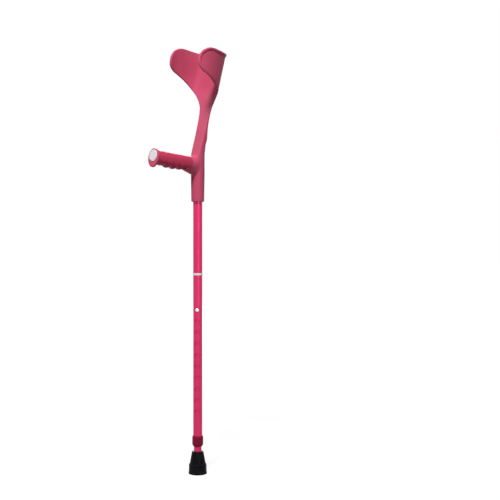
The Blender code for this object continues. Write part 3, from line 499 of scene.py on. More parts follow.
def plated(name, colour, roughness):
    """Plated metal with fine marks in its gloss."""
    n = Nodes(bpy.data.materials.new(name))
    rough = n.spread(n.noise(METAL_MARKS), MIDDLE, METAL_GLOSS, roughness)
    return n.principled({"Base Color": colour, "Metallic": 1.0, "Roughness": rough})


# Each finish: name, colour, deeper colour where it drifts, roughness, and shine of plastics
MOULDING = moulded_plastic("moulding", (0.57, 0.082, 0.160), (0.50, 0.068, 0.134), 0.36, 0.10)
SOFT = moulded_plastic(
    "soft_grip", (0.52, 0.044, 0.106), (0.45, 0.036, 0.090), 0.42, 0.10, SOFT_GRAIN
)
PALE = moulded_plastic("pale_insert", (0.76, 0.74, 0.745), (0.70, 0.68, 0.685), 0.38, 0.30)
FILM = moulded_plastic("reflective_film", (0.86, 0.84, 0.85), (0.78, 0.76, 0.77), 0.30, 0.40)
TUBE = anodised_tube("anodised_tube", (0.76, 0.040, 0.156), (0.69, 0.034, 0.136), 0.17)
COLLAR = moulded_plastic("collar", (0.29, 0.010, 0.044), (0.24, 0.008, 0.036), 0.34, 0.06)
RUBBER = rubber("black_rubber", (0.004, 0.004, 0.005), 0.40)
PLATED = plated("plated_steel", (0.78, 0.77, 0.76), 0.22)
SPRING = plated("spring_steel", (0.42, 0.42, 0.44), 0.30)
NATURAL = moulded_plastic("natural_plastic", (0.70, 0.70, 0.66), (0.64, 0.64, 0.60), 0.42, 0.40)

# Inner pieces that keep their solid and only get a material
KEPT = {"inner_tube_plug": NATURAL, "clamp_ring": NATURAL, "foot_disc": PLATED}


def dress_kept_nodes():
    for name, look in KEPT.items():
        for slot in frame["nodes"][name].material_slots:
            slot.material = look


def add_object(name, data):
    item = bpy.data.objects.new(name, data)
    SCENE.collection.objects.link(item)
    return item


def smooth(mesh):
    mesh.shade_smooth()
    mesh.set_sharp_from_angle(angle=SHARP_ANGLE)


def make_object(name, shape, look):
    """Turn a bmesh into a smooth shaded object of one material."""
    bmesh.ops.recalc_face_normals(shape, faces=shape.faces)
    mesh = bpy.data.meshes.new(name)
    shape.to_mesh(mesh)
    shape.free()
    mesh.materials.append(look)
    smooth(mesh)
    return add_object(name, mesh)


def finish_piece(item, node, body):
    """Hide the model part that a piece replaces, and hang the piece on the body it moves with."""
    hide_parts(node)
    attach(item, body)


def cut_or_join(item, other, operation):
    """Add or remove one closed shape for good, and drop the other."""
    modifier = item.modifiers.new("shape", "BOOLEAN")
    modifier.operation = operation
    modifier.solver = "EXACT"
    modifier.object = other
    graph = bpy.context.evaluated_depsgraph_get()
    result = bpy.data.meshes.new_from_object(item.evaluated_get(graph))
    item.modifiers.clear()
    old = item.data
    item.data = result
    bpy.data.meshes.remove(old)
    bpy.data.objects.remove(other)


def ease(value, start, end):
    """Smooth step from 0 at start to 1 at end."""
    share = min(max((value - start) / (end - start), 0), 1)
    return share * share * (3 - 2 * share)


def mix(low, high, share):
    return low + (high - low) * share


def steps(start, end, count):
    """Even places from a start up to an end, which is left out."""
    return [mix(start, end, i / count) for i in range(count)]


def quarter_turns(count):
    """Even turns from 0 to a quarter circle, with both ends."""
    return [i / count * math.pi / 2 for i in range(count + 1)]


def bezier(points, share):
    while len(points) > 1:
        points = [a.lerp(b, share) for a, b in zip(points, points[1:])]
    return points[0]


def rounded(profile, radius, closed=False):
    """Profile whose corners are short curves."""
    found = []
    last = len(profile) - 1
    for i, point in enumerate(profile):
        if not closed and i in (0, last):
            found.append(point)
            continue
        corner = Vector(point)
        ends = []
        for other in (profile[i - 1], profile[(i + 1) % (last + 1)]):
            edge = Vector(other) - corner
            ends.append(corner + edge * min(radius / edge.length, CORNER_SHARE))
        for step in range(CORNER_CURVE_STEPS + 1):
            share = step / CORNER_CURVE_STEPS
            found.append(tuple(bezier([ends[0], corner, ends[1]], share)))
    return found


def turned(profile, segments, closed=False):
    """Spin a profile of (radius, height) points round Z; a closed one makes a ring."""
    shape = bmesh.new()
    points = [shape.verts.new((radius, 0, height)) for radius, height in profile]
    edges = [shape.edges.new(pair) for pair in zip(points, points[1:])]
    if closed:
        edges.append(shape.edges.new((points[-1], points[0])))
    bmesh.ops.spin(
        shape, geom=points + edges, cent=(0, 0, 0), axis=(0, 0, 1),
        angle=math.tau, steps=segments, use_merge=True,
    )
    bmesh.ops.remove_doubles(shape, verts=shape.verts, dist=SAME_PLACE)
    return shape


def turned_piece(name, profile, segments, look, place):
    """Turned solid that is then moved to its place."""
    shape = turned(profile, segments)
    bmesh.ops.transform(shape, verts=shape.verts, matrix=place)
    return make_object(name, shape, look)


def ring(inside, outside, bottom, top, edge):
    """Ring or tube with rounded edges."""
    corners = ((inside, bottom), (outside, bottom), (outside, top), (inside, top))
    return turned(rounded(corners, edge, closed=True), TUBE_SEGMENTS, closed=True)


def dome(radius, rise, base):
    """Profile of a dome, from its foot to the point on the axis."""
    turns = quarter_turns(DOME_STEPS)[:-1]
    found = [(radius * math.cos(turn), base + rise * math.sin(turn)) for turn in turns]
    return found + [(0, base + rise)]


def aim(direction, origin):
    """Transform that points the local Z along a direction."""
    turn = Vector(direction).to_track_quat("Z", "Y").to_matrix().to_4x4()
    return Matrix.Translation(origin) @ turn


def loft(loops, cap_start=True, cap_end=True, join_ends=False):
    """Skin rings of points that all have the same count."""
    shape = bmesh.new()
    rings = [[shape.verts.new(point) for point in loop] for loop in loops]
    pairs = list(zip(rings, rings[1:]))
    if join_ends:
        pairs.append((rings[-1], rings[0]))
    for low, high in pairs:
        for i in range(len(low)):
            j = (i + 1) % len(low)
            shape.faces.new((low[i], low[j], high[j], high[i]))
    if cap_start:
        shape.faces.new(list(reversed(rings[0])))
    if cap_end:
        shape.faces.new(rings[-1])
    return shape, rings


def close_across(shape, loop):
    """Close a ring of points with strips between those that face each other across it."""
    count = len(loop)
    half = count // 2
    for i in range(-(half // 2), half // 2):
        places = (i, i + 1, half - i - 1, half - i)
        shape.faces.new(list(dict.fromkeys(loop[place % count] for place in places)))


def drill(item, diameter, length, segments, place):
    """Cut a round hole, from a placed origin up its own Z."""
    shape = bmesh.new()
    bmesh.ops.create_cone(
        shape, cap_ends=True, segments=segments,
        radius1=diameter / 2, radius2=diameter / 2, depth=length,
    )
    bmesh.ops.translate(shape, verts=shape.verts, vec=(0, 0, length / 2))
    bmesh.ops.transform(shape, verts=shape.verts, matrix=place)
    cut_or_join(item, make_object("cutter", shape, item.data.materials[0]), "DIFFERENCE")


def rivet_place():
    """Transform on the rivet's axis, pointing backwards."""
    return aim((0, 1, 0), (0, 0, RIVET_Z))


def rivet_hole():
    """Diameter, length, segments and place of the rivet's hole."""
    return RIVET_SHANK_D + 2 * GAP, 2 * SOCKET_TOP_R, ROUND_SEGMENTS, rivet_place()


def side_hole(diameter, height):
    """The same for a hole through one side of a tube, along the button's axis."""
    return diameter, OUTER_TUBE_D, HOLE_SEGMENTS, aim(HOLE_DIRECTION, (0, 0, height))


def true_tube_normals(item, radii):
    """Give the round faces of a cut tube the normals of a true cylinder."""
    mesh = item.data
    normals = [Vector(corner.vector) for corner in mesh.corner_normals]
    for face in mesh.polygons:
        centre = Vector((face.center.x, face.center.y, 0))
        if centre.length < TOUCH or abs(face.normal.z) > TUBE_LEAN:
            continue
        facing = face.normal.dot(centre.normalized())
        if abs(facing) < TUBE_FACING:
            continue
        for loop in face.loop_indices:
            place = mesh.vertices[mesh.loops[loop].vertex_index].co
            out = Vector((place.x, place.y, 0))
            if min(abs(out.length - radius) for radius in radii) < FACET_DEPTH:
                normals[loop] = out.normalized() * math.copysign(1, facing)
    mesh.normals_split_custom_set(normals)


def drilled_tube(name, node, body, diameter, wall, ends, holes):
    """Tube with rounded ends and holes, shaded as a true cylinder."""
    radii = (diameter / 2 - wall, diameter / 2)
    item = make_object(name, ring(*radii, *ends, SMALL_EDGE), TUBE)
    for hole in holes:
        drill(item, *hole)
    smooth(item.data)
    true_tube_normals(item, radii)
    finish_piece(item, node, body)


def outer_tube():
    ends = (OUTER_TUBE_BOTTOM_Z, OUTER_TUBE_TOP_Z)
    heights = [TOP_HOLE_Z - index * HOLE_PITCH for index in range(HOLE_COUNT)]
    holes = [side_hole(HOLE_D, height) for height in heights] + [rivet_hole()]
    drilled_tube("drilled_tube", "outer_tube", "upper", OUTER_TUBE_D, OUTER_TUBE_WALL, ends, holes)


def inner_tube():
    ends = (INNER_TUBE_BOTTOM_Z, INNER_TUBE_TOP_Z)
    holes = [side_hole(BUTTON_HOLE_D, TOP_HOLE_Z)]
    drilled_tube("sliding_tube", "inner_tube", "leg", INNER_TUBE_D, INNER_TUBE_WALL, ends, holes)


def snap_button():
    """Domed button with a flange inside the inner tube."""
    flange_low = BUTTON_FLANGE_TOP - BUTTON_FLANGE_THICKNESS
    radius = BUTTON_D / 2
    profile = [
        (0, flange_low),
        (BUTTON_FLANGE_D / 2, flange_low),
        (BUTTON_FLANGE_D / 2, BUTTON_FLANGE_TOP),
        (radius, BUTTON_FLANGE_TOP),
    ]
    profile += dome(radius, BUTTON_DOME, BUTTON_TIP - BUTTON_DOME)
    place = aim(HOLE_DIRECTION, (0, 0, TOP_HOLE_Z))
    item = turned_piece("domed_button", profile, ROUND_SEGMENTS, PLATED, place)
    finish_piece(item, "snap_button", "button")


def button_spring():
    """Hairpin spring strip, whose front leg lies behind the button's flange."""
    half = STRIP_WIDTH / 2
    bore = INNER_TUBE_BORE_D / 2
    front = BUTTON_FLANGE_TOP - BUTTON_FLANGE_THICKNESS - GAP
    back = -(math.sqrt(bore ** 2 - half ** 2) - GAP)
    centre = (front + back) / 2
    loops = []
    for step in range(STRIP_BEND_STEPS + 1):
        turn = -step / STRIP_BEND_STEPS * math.pi
        loop = []
        for inward, side in STRIP_CORNERS:
            reach = (front - back) / 2 - inward * STRIP_THICKNESS
            bend = Vector((reach * math.cos(turn), 0, reach * math.sin(turn)))
            loop.append(bend + Vector((centre, side * half, -STRIP_BELOW_BUTTON)))
        loops.append(loop)
    rise = Vector((0, 0, STRIP_BELOW_BUTTON + STRIP_ABOVE_BUTTON))
    loops = [[point + rise for point in loops[0]], *loops, [point + rise for point in loops[-1]]]
    heading = Matrix.Rotation(HOLE_TURN - math.pi / 2, 4, "Z")
    place = Matrix.Translation((0, 0, TOP_HOLE_Z)) @ heading
    shape, _ = loft([[place @ point for point in loop] for loop in loops])
    item = make_object("hairpin_spring", shape, SPRING)
    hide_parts("button_spring")
    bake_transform(item)


def socket_rivet():
    """Domed rivet that holds the tube in the socket, with its tail inside the tube."""
    head_seat = SOCKET_TOP_R + GAP
    tail = OUTER_TUBE_BORE_D / 2 - RIVET_TAIL
    shank = RIVET_SHANK_D / 2
    profile = [(0, tail), (shank, tail), (shank, head_seat)]
    profile += dome(RIVET_HEAD_D / 2, RIVET_HEAD_HEIGHT, head_seat)
    item = turned_piece("domed_rivet", profile, ROUND_SEGMENTS, PLATED, rivet_place())
    finish_piece(item, "socket_rivet", "upper")


def reflective_band():
    inside = OUTER_TUBE_D / 2 + GAP
    low = BAND_Z - BAND_HEIGHT / 2
    high = BAND_Z + BAND_HEIGHT / 2
    shape = ring(inside, inside + BAND_THICKNESS, low, high, BAND_THICKNESS / 2)
    finish_piece(make_object("film_band", shape, FILM), "reflective_band", "upper")


def flute(point):
    """Depth of the grip flutes at a point of the collar's outside."""
    turn = math.atan2(point.y, point.x)
    return COLLAR_FLUTE_DEPTH * (0.5 - 0.5 * math.cos(COLLAR_FLUTES * turn))


def locking_collar():
    """Screwed collar on the end of the outer tube, with shallow flutes for the fingers."""
    outside = COLLAR_BORE_R + COLLAR_WALL
    bottom = COLLAR_BOTTOM_Z
    top = bottom + COLLAR_HEIGHT
    lip = bottom + COLLAR_LIP
    corners = (
        (COLLAR_FOOT_BORE_R, bottom),
        (COLLAR_FOOT_BORE_R + COLLAR_FOOT_WALL, bottom),
        (outside, bottom + COLLAR_FOOT),
        (outside, top - COLLAR_SHOULDER),
        (COLLAR_BORE_R + COLLAR_RIM, top),
        (COLLAR_BORE_R, top),
        (COLLAR_BORE_R, lip + CLAMP_RING_TAPER),
        (COLLAR_FOOT_BORE_R, lip),
    )
    shape = turned(rounded(corners, COLLAR_ROUND, closed=True), COLLAR_SEGMENTS, closed=True)
    for vert in shape.verts:
        distance = math.hypot(vert.co.x, vert.co.y)
        share = ease(distance, outside - FLUTE_FADE, outside)
        shrink = (distance - flute(vert.co) * share) / distance
        vert.co.x *= shrink
        vert.co.y *= shrink
    finish_piece(make_object("fluted_collar", shape, COLLAR), "locking_collar", "collar")


def ferrule():
    """Rubber foot: a cone with a stepped skirt, and ring grooves in its sole."""
    bore = INNER_TUBE_D / 2 + GAP
    top, step, skirt, sole = (
        bore + wall
        for wall in (FERRULE_TOP_WALL, FERRULE_STEP_WALL, FERRULE_SKIRT_WALL, FERRULE_SOLE_WALL)
    )
    profile = [(0, 0)]
    for radius in SOLE_GROOVES:
        low = radius - SOLE_GROOVE_WIDTH / 2
        high = radius + SOLE_GROOVE_WIDTH / 2
        profile += [(low, 0), (low, SOLE_GROOVE_DEPTH), (high, SOLE_GROOVE_DEPTH), (high, 0)]
    profile += [
        (sole, 0),
        (sole, FERRULE_LIP_Z),
        (skirt + FERRULE_LIP_FILLET[0], FERRULE_LIP_Z + FERRULE_LIP_FILLET[1]),
        (skirt, FERRULE_STEP_Z),
        (step, FERRULE_STEP_Z + FERRULE_EDGE_RISE),
        (top, FERRULE_HEIGHT),
        (bore, FERRULE_HEIGHT),
        (bore, FERRULE_FLOOR),
        (0, FERRULE_FLOOR),
    ]
    shape = turned(rounded(profile, FERRULE_EDGE), FERRULE_SEGMENTS)
    finish_piece(make_object("rubber_foot", shape, RUBBER), "ferrule", "leg")


def spine_frame(along):
    """Point of the upright's spine, and its forward direction there."""
    angle = min(max((along - BEND_START) / BEND_RADIUS, 0), ARM_LEAN)
    bend_end = BEND_START + BEND_RADIUS * ARM_LEAN
    straight = max(along - bend_end, 0)
    y = BEND_RADIUS * (1 - math.cos(angle)) + straight * math.sin(angle)
    z = min(along, BEND_START) + BEND_RADIUS * math.sin(angle) + straight * math.cos(angle)
    point = Vector((0, y, SOCKET_BOTTOM_Z + z))
    forward = Vector((0, -math.cos(angle), math.sin(angle)))
    return point, forward


def through_keys(keys, value):
    """Smooth curve through a few (place, size) pairs."""
    places = [place for place, _ in keys]
    sizes = [size for _, size in keys]
    last = len(keys) - 1
    slopes = []
    for i in range(last + 1):
        low = max(i - 1, 0)
        high = min(i + 1, last)
        slopes.append((sizes[high] - sizes[low]) / (places[high] - places[low]))
    value = min(max(value, places[0]), places[-1])
    i = 0
    while i < last - 1 and value > places[i + 1]:
        i += 1
    span = places[i + 1] - places[i]
    t = (value - places[i]) / span
    start = (1 + 2 * t) * (1 - t) ** 2 * sizes[i] + t * (1 - t) ** 2 * span * slopes[i]
    end = t * t * (3 - 2 * t) * sizes[i + 1] + t * t * (t - 1) * span * slopes[i + 1]
    return start + end


def half_width(along):
    """Half width of the arm or cuff, measured round its wall."""
    rise = 1 - (UPRIGHT_LENGTH - along) / WING_CORNER_HEIGHT
    rise = min(max(rise, 0), 1)
    corner = WING_CORNER_REACH * (1 - math.sqrt(1 - rise * rise))
    return through_keys(EDGE_KEYS, along) - corner


def edge_slant(along):
    """How much longer a step across the slanted free edge is when it is taken round the wall."""
    slope = (half_width(along + NUDGE) - half_width(along - NUDGE)) / (2 * NUDGE)
    return min(math.sqrt(1 + slope * slope), STEEPEST_EDGE)


def lean_gap(along):
    """How far the straight middle line of the strap lies in front of the spine."""
    point, forward = spine_frame(along)
    far, lean_forward = spine_frame(UPRIGHT_LENGTH)
    return (far - point).dot(lean_forward) / forward.dot(lean_forward)


def front_reach(along):
    """Distance from the spine forward to the flat front face of the strap."""
    swell = FRONT_SWELL * (1 - ease(along, ROUND_END, SQUARE_START))
    return CUFF_WALL / 2 + lean_gap(along) + swell


def back_reach(along):
    """Distance from the spine back to the socket's straight back or the strap's, blended."""
    point, forward = spine_frame(along)
    socket_back = (SOCKET_TOP_R - point.y) / -forward.y
    strap_back = CUFF_WALL / 2 - lean_gap(along)
    spread = math.hypot(socket_back - strap_back, BACK_BLEND)
    return (socket_back + strap_back + spread) / 2


def wall_line(reach, bow):
    """Middle line of the wall: sideways, forward, and its direction, at a reach from the back."""
    corner_bend = (WING_ANGLE - bow * BACK_HALF) / CORNER_LENGTH
    arcs = ((BACK_HALF, bow), (CORNER_LENGTH, corner_bend), (math.inf, 1 / WING_RADIUS))
    side = forward = turn = 0.0
    for length, bend in arcs:
        step = min(reach, length)
        end = turn + bend * step
        if bend < TOUCH:
            side += step
        else:
            side += (math.sin(end) - math.sin(turn)) / bend
            forward += (math.cos(turn) - math.cos(end)) / bend
        turn = end
        reach -= step
    return side, forward, turn


def reaches(width, slant, edge_start):
    """Places round half of the wall, denser at the corner and at the bead."""
    corner_start = min(BACK_HALF, width * NARROW_BACK)
    corner_end = min(BACK_HALF + CORNER_LENGTH, width * NARROW_CORNER)
    bead_start = width - min((BEAD_WIDTH + 2 * BEAD_STEP) * slant, width * NARROW_BEAD_STEP)
    bead_full = width - min(BEAD_WIDTH * slant, width * NARROW_BEAD)
    found = steps(0, corner_start, BACK_STEPS)
    found += steps(corner_start, corner_end, CORNER_STEPS)
    found += steps(corner_end, bead_start, WING_STEPS)
    found += steps(bead_start, bead_full, BEAD_STEP_LINES)
    return found + steps(bead_full, edge_start, BEAD_LINES)


def bead_height(along, edge):
    """Height of the bead at a distance from the wing's edge, with a fine groove beside it."""
    distance = min(edge, UPRIGHT_LENGTH - along) - BEAD_WIDTH
    raised = BEAD_HEIGHT * (1 - ease(distance, 0, BEAD_STEP))
    across = min(abs(distance / BEAD_STEP - 1), 1)
    return (raised - BEAD_GROOVE * (1 - across * across)) * ease(along, BEAD_START, BEAD_END)


def strap_section(along, pinch):
    """Half section of the strap laid flat: (reach, offset to the back), back to front."""
    width = half_width(along)
    slant = edge_slant(along)
    front = front_reach(along) * pinch
    back = back_reach(along) * pinch
    rim = back + bead_height(along, 0) * pinch
    cuff = ease(along, CUFF_EDGE_START, CUFF_EDGE_END)
    widest = (front + rim) * EDGE_SHARE
    back_edge = min(mix(ARM_BACK_EDGE, widest, cuff), widest)
    front_edge = min(mix(ARM_FRONT_EDGE, widest, cuff), widest)
    most = width * NARROW_EDGE
    places = reaches(width, slant, width - min(back_edge * slant, most))
    section = []
    for place in places:
        section.append((place, back + bead_height(along, (width - place) / slant) * pinch))
    for turn in quarter_turns(EDGE_STEPS):
        inset = back_edge * (1 - math.sin(turn)) * slant
        section.append((width - min(inset, most), rim - back_edge * (1 - math.cos(turn))))
    for turn in quarter_turns(EDGE_STEPS):
        inset = front_edge * (1 - math.cos(turn)) * slant
        section.append((width - min(inset, most), front_edge * (1 - math.sin(turn)) - front))
    return section + [(place, -front) for place in reversed(places)]


def strap_outline(along, pinch):
    """Half outline of the strap or cuff: its section wrapped round the bowed middle line."""
    bow = ease(along, BOW_START, BOW_END) / BACK_RADIUS
    found = []
    for reach, offset in strap_section(along, pinch):
        side, forward, turn = wall_line(reach, bow)
        found.append((side + math.sin(turn) * offset, forward - math.cos(turn) * offset))
    return found


def socket_radius(along):
    return mix(SOCKET_BOTTOM_R, SOCKET_TOP_R, min(along / SOCKET_LENGTH, 1))


def socket_outline(along, radius, lines):
    """Half outline of the socket: a circle, cut flat where the strap's face runs into it."""
    front = front_reach(along)
    cut = math.asin(min(front / radius, FLAT_LIMIT))
    turns = quarter_turns(lines + EDGE_STEPS + 1)[:-1]
    turns += [math.pi / 2 + (i + 0.5) / (EDGE_STEPS + 1) * cut for i in range(EDGE_STEPS + 1)]
    found = [(radius * math.sin(turn), -radius * math.cos(turn)) for turn in turns]
    for i in range(lines):
        side = radius * math.cos(cut) * (1 - i / (lines - 1))
        found.append((side, min(front, math.sqrt(radius * radius - side * side))))
    return found


def upright_loop(along, pinch=1.0, radius_cut=0.0):
    """Closed ring of points of the upright at a place on its spine."""
    strap = strap_outline(along, pinch)
    lines = len(strap) // 2 - EDGE_STEPS - 1
    circle = socket_outline(along, socket_radius(along) - radius_cut, lines)
    share = ease(along, ROUND_END, SQUARE_START)
    half = [(mix(a[0], b[0], share), mix(a[1], b[1], share)) for a, b in zip(circle, strap)]
    other = [(-side, forward) for side, forward in reversed(half[1:-1])]
    point, ahead = spine_frame(along)
    return [point + Vector((side, 0, 0)) + ahead * forward for side, forward in half + other]


def along_edge(start, end, count):
    """Places on the spine that divide the free edge between two places evenly."""
    fine = steps(start, end, EDGE_FINE_STEPS) + [end]
    found = [start]
    length = 0.0
    total = sum(edge_step(low, high) for low, high in zip(fine, fine[1:]))
    for low, high in zip(fine, fine[1:]):
        length += edge_step(low, high)
        if length >= total * len(found) / count and len(found) < count:
            found.append(high)
    return found + [end]


def edge_step(low, high):
    return math.hypot(high - low, half_width(high) - half_width(low))


def upright_stations():
    """Places along the spine, closer together where the outline changes fast."""
    found = steps(SOCKET_ROUND, SOCKET_LENGTH, SOCKET_RINGS)
    found += steps(SOCKET_LENGTH, ROUND_END, SOCKET_RINGS)
    found += steps(ROUND_END, SQUARE_START, BEND_RINGS)
    found += steps(SQUARE_START, WING_START, ARM_RINGS)
    found += along_edge(WING_START, WING_TIP, WING_RINGS)
    corner_start = UPRIGHT_LENGTH - WING_CORNER_HEIGHT
    found += steps(WING_TIP, corner_start, TIP_RINGS)[1:]
    bead = UPRIGHT_LENGTH - BEAD_WIDTH
    groove = bead - 2 * BEAD_STEP
    for turn in quarter_turns(WING_CORNER_RINGS + 1)[:-2]:
        place = corner_start + WING_CORNER_HEIGHT * math.sin(turn)
        if place < groove - BEAD_STEP:
            found.append(place)
    rim = UPRIGHT_LENGTH - RIM_ROUND
    return found + steps(groove, bead, BEAD_STEP_LINES) + steps(bead, rim, BEAD_LINES) + [rim]


def upright():
    """Socket, arm and cuff as one skin, closed by a flat ring below and a rounded rim above."""
    loops = []
    for turn in quarter_turns(SOCKET_ROUND_RINGS)[:-1]:
        cut = SOCKET_ROUND * (1 - math.sin(turn))
        loops.append(upright_loop(SOCKET_ROUND * (1 - math.cos(turn)), radius_cut=cut))
    loops += [upright_loop(place) for place in upright_stations()]
    for share in RIM_RINGS:
        place = UPRIGHT_LENGTH - RIM_ROUND * (1 - share)
        loops.append(upright_loop(place, pinch=max(math.sqrt(1 - share * share), RIM_FLAT)))
    shape, rings = loft(loops, cap_end=False)
    close_across(shape, rings[-1])
    return make_object("moulded_handle", shape, MOULDING)


def grip_point(side, height, distance):
    """Point of the grip: sideways, up from its axis, and along its axis from the tube."""
    along = Vector((0, -math.cos(GRIP_TILT), math.sin(GRIP_TILT)))
    up = Vector((0, math.sin(GRIP_TILT), math.cos(GRIP_TILT)))
    root = Vector((0, 0, GRIP_ROOT_Z))
    return root + along * distance + up * height + Vector((side, 0, 0))


def oval(half_w, top, bottom, count, offset=0.0):
    """Closed rounded outline with separate heights above and below its centre."""
    found = []
    for i in range(count):
        turn = (i + offset) / count * math.tau
        across = math.cos(turn)
        level = math.sin(turn)
        side = half_w * math.copysign(abs(across) ** (2 / GRIP_SQUARENESS), across)
        reach = top if level > 0 else bottom
        found.append((side, reach * math.copysign(abs(level) ** (2 / GRIP_SQUARENESS), level)))
    return found


def egg(grow):
    """Outline of the grip's end flange: an oval, wider above than below."""
    middle = (FLANGE_TOP - FLANGE_BOTTOM) / 2
    half_h = (FLANGE_TOP + FLANGE_BOTTOM) / 2 + grow
    half_w = FLANGE_HALF_W + grow
    found = []
    for i in range(GRIP_SEGMENTS):
        turn = i / GRIP_SEGMENTS * math.tau
        taper = 1 + FLANGE_TAPER * math.sin(turn)
        found.append((half_w * taper * math.cos(turn), middle + half_h * math.sin(turn)))
    return found


def grip_core():
    """Core bar under the sleeve, from the middle of the socket into the flange."""
    height = GRIP_CORE_HALF_H
    outline = oval(GRIP_CORE_HALF_W, height, height, GRIP_CORE_COUNT, offset=0.5)
    ends = (GRIP_CORE_START, FLANGE_FACE - FLANGE_THICKNESS / 2)
    loops = [[grip_point(side, up, place) for side, up in outline] for place in ends]
    return make_object("grip_core", loft(loops)[0], MOULDING)


def grip_flange():
    """Egg-shaped end plate with rounded edges."""
    back = FLANGE_FACE - FLANGE_THICKNESS
    sections = []
    for turn in quarter_turns(FLANGE_ROUND_STEPS):
        place = back + FLANGE_BEVEL * (1 - math.cos(turn))
        sections.append((place, FLANGE_BEVEL * (math.sin(turn) - 1)))
    sections += [(FLANGE_FACE + back - place, grow) for place, grow in reversed(sections)]
    loops = [[grip_point(side, up, place) for side, up in egg(grow)] for place, grow in sections]
    return make_object("grip_flange", loft(loops)[0], MOULDING)


def sleeve_rear(height):
    """Distance of the sleeve's rear end: square above, slanting forward below the middle."""
    drop = (math.hypot(height, SLEEVE_REAR_BLEND) - height) / 2
    return SLEEVE_REAR + SLEEVE_REAR_SLANT * drop


def socket_face(around, along, sink=0.0):
    """Point of the upright's surface at a turn from its front, sunk below it by a depth."""
    radius = socket_radius(along) - sink
    point, forward = spine_frame(along)
    reach = min(radius * math.cos(around), front_reach(along) - sink)
    return point + forward * reach + Vector((radius * math.sin(around), 0, 0))


def root_end(turn):
    """Where the root runs out on the upright, and the direction in which it does."""
    level = math.sin(turn)
    across = abs(math.cos(turn))
    if level > 0:
        around = across ** ROOT_SQUARE * math.pi / 2
        along = mix(ROOT_MIDDLE, ROOT_TOP, level ** ROOT_RISE)
        rise = min(level / math.sin(ROOT_CREASE), 1)
    else:
        around = across * math.pi / 2
        along = mix(ROOT_MIDDLE, ROOT_BOTTOM, -level)
        rise = level
    around = math.copysign(around, math.cos(turn))
    step = math.copysign(NUDGE_TURN, math.cos(turn))
    point = socket_face(around, along, ROOT_SINK)
    up = socket_face(around, along + NUDGE) - socket_face(around, along - NUDGE)
    back = socket_face(around + step, along) - socket_face(around, along)
    heading = up.normalized() * rise + back.normalized() * math.sqrt(1 - rise * rise)
    return point, heading.normalized()


def root_curve(side, up, turn):
    """Control points of one line of the root, from the sleeve's end to the upright."""
    start = grip_point(side, up, sleeve_rear(up) - ROOT_BEHIND_SLEEVE)
    end, heading = root_end(turn)
    axis = (grip_point(0, 0, 0) - grip_point(0, 0, 1)).normalized()
    web = ease(-math.sin(turn), 0, 1)
    length = (end - start).length
    first = mix(ROOT_SIDE_HANDLES[0], ROOT_WEB_HANDLES[0], web) * length
    last = mix(ROOT_SIDE_HANDLES[1], ROOT_WEB_HANDLES[1], web) * length
    leaving = axis.lerp((end - start).normalized(), web).normalized()
    return start, start + leaving * first, end - heading * last, end


def root_shape():
    """Root between the grip and the upright: tangent to both, with a straight web below."""
    count = ROOT_COUNT
    outline = oval(
        SLEEVE_HALF_W - ROOT_INSET, SLEEVE_TOP - ROOT_INSET, SLEEVE_BOTTOM_REAR - ROOT_INSET, count
    )
    curves = [root_curve(*outline[i], i / count * math.tau) for i in range(count)]
    loops = [[bezier(curve, i / ROOT_STEPS) for curve in curves] for i in range(ROOT_STEPS + 1)]
    loops.append([point.lerp(Vector((0, 0, point.z)), ROOT_ANCHOR) for point in loops[-1]])
    shape, rings = loft(loops, cap_start=False)
    close_across(shape, rings[0])
    return make_object("grip_root", shape, MOULDING)


def disc_place(distance):
    """Transform at the disc's centre, pointing out along the grip."""
    centre = grip_point(0, DISC_CENTRE, distance)
    ahead = grip_point(0, DISC_CENTRE, distance + 1) - centre
    return aim(ahead, centre)


def handle_moulding():
    item = upright()
    for addition in (root_shape(), grip_core(), grip_flange()):
        cut_or_join(item, addition, "UNION")
    bottom = SOCKET_BOTTOM_Z - CUTTER_OVERRUN
    length = OUTER_TUBE_TOP_Z + GAP - bottom
    drill(item, 2 * SOCKET_BORE_R, length, TUBE_SEGMENTS, Matrix.Translation((0, 0, bottom)))
    depth = DISC_RECESS + GAP
    place = disc_place(FLANGE_FACE - depth)
    drill(item, DISC_D + 2 * GAP, depth + CUTTER_OVERRUN, GRIP_SEGMENTS, place)
    drill(item, *rivet_hole())
    smooth(item.data)
    finish_piece(item, "handle_moulding", "upper")


def grip_end_disc():
    """Plain round disc set into the grip's end, with one fine ring groove."""
    radius = DISC_D / 2
    groove = DISC_GROOVE_WIDTH / 2
    profile = [
        (0, 0),
        (radius, 0),
        (radius, DISC_THICKNESS),
        (DISC_GROOVE_R + groove, DISC_THICKNESS),
        (DISC_GROOVE_R + groove / 2, DISC_THICKNESS - DISC_GROOVE_DEPTH),
        (DISC_GROOVE_R - groove / 2, DISC_THICKNESS - DISC_GROOVE_DEPTH),
        (DISC_GROOVE_R - groove, DISC_THICKNESS),
        (0, DISC_THICKNESS),
    ]
    place = disc_place(FLANGE_FACE - DISC_RECESS)
    item = turned_piece("plain_disc", rounded(profile, SMALL_EDGE), GRIP_SEGMENTS, PALE, place)
    finish_piece(item, "grip_end_disc", "upper")


def finger_cut(distance, height):
    """Depth of the finger grooves, each starting under an arch on the sleeve's side."""
    place = (distance - GROOVE_FIRST) / GROOVE_PITCH
    if not -0.5 < place < GROOVE_COUNT - 0.5:
        return 0.0
    middle = 0.5 + 0.5 * math.cos(place * math.tau)
    arch = mix(ARCH_FOOT, ARCH_TOP, middle)
    return GROOVE_DEPTH * middle * ease(arch - height, 0, ARCH_RUN)


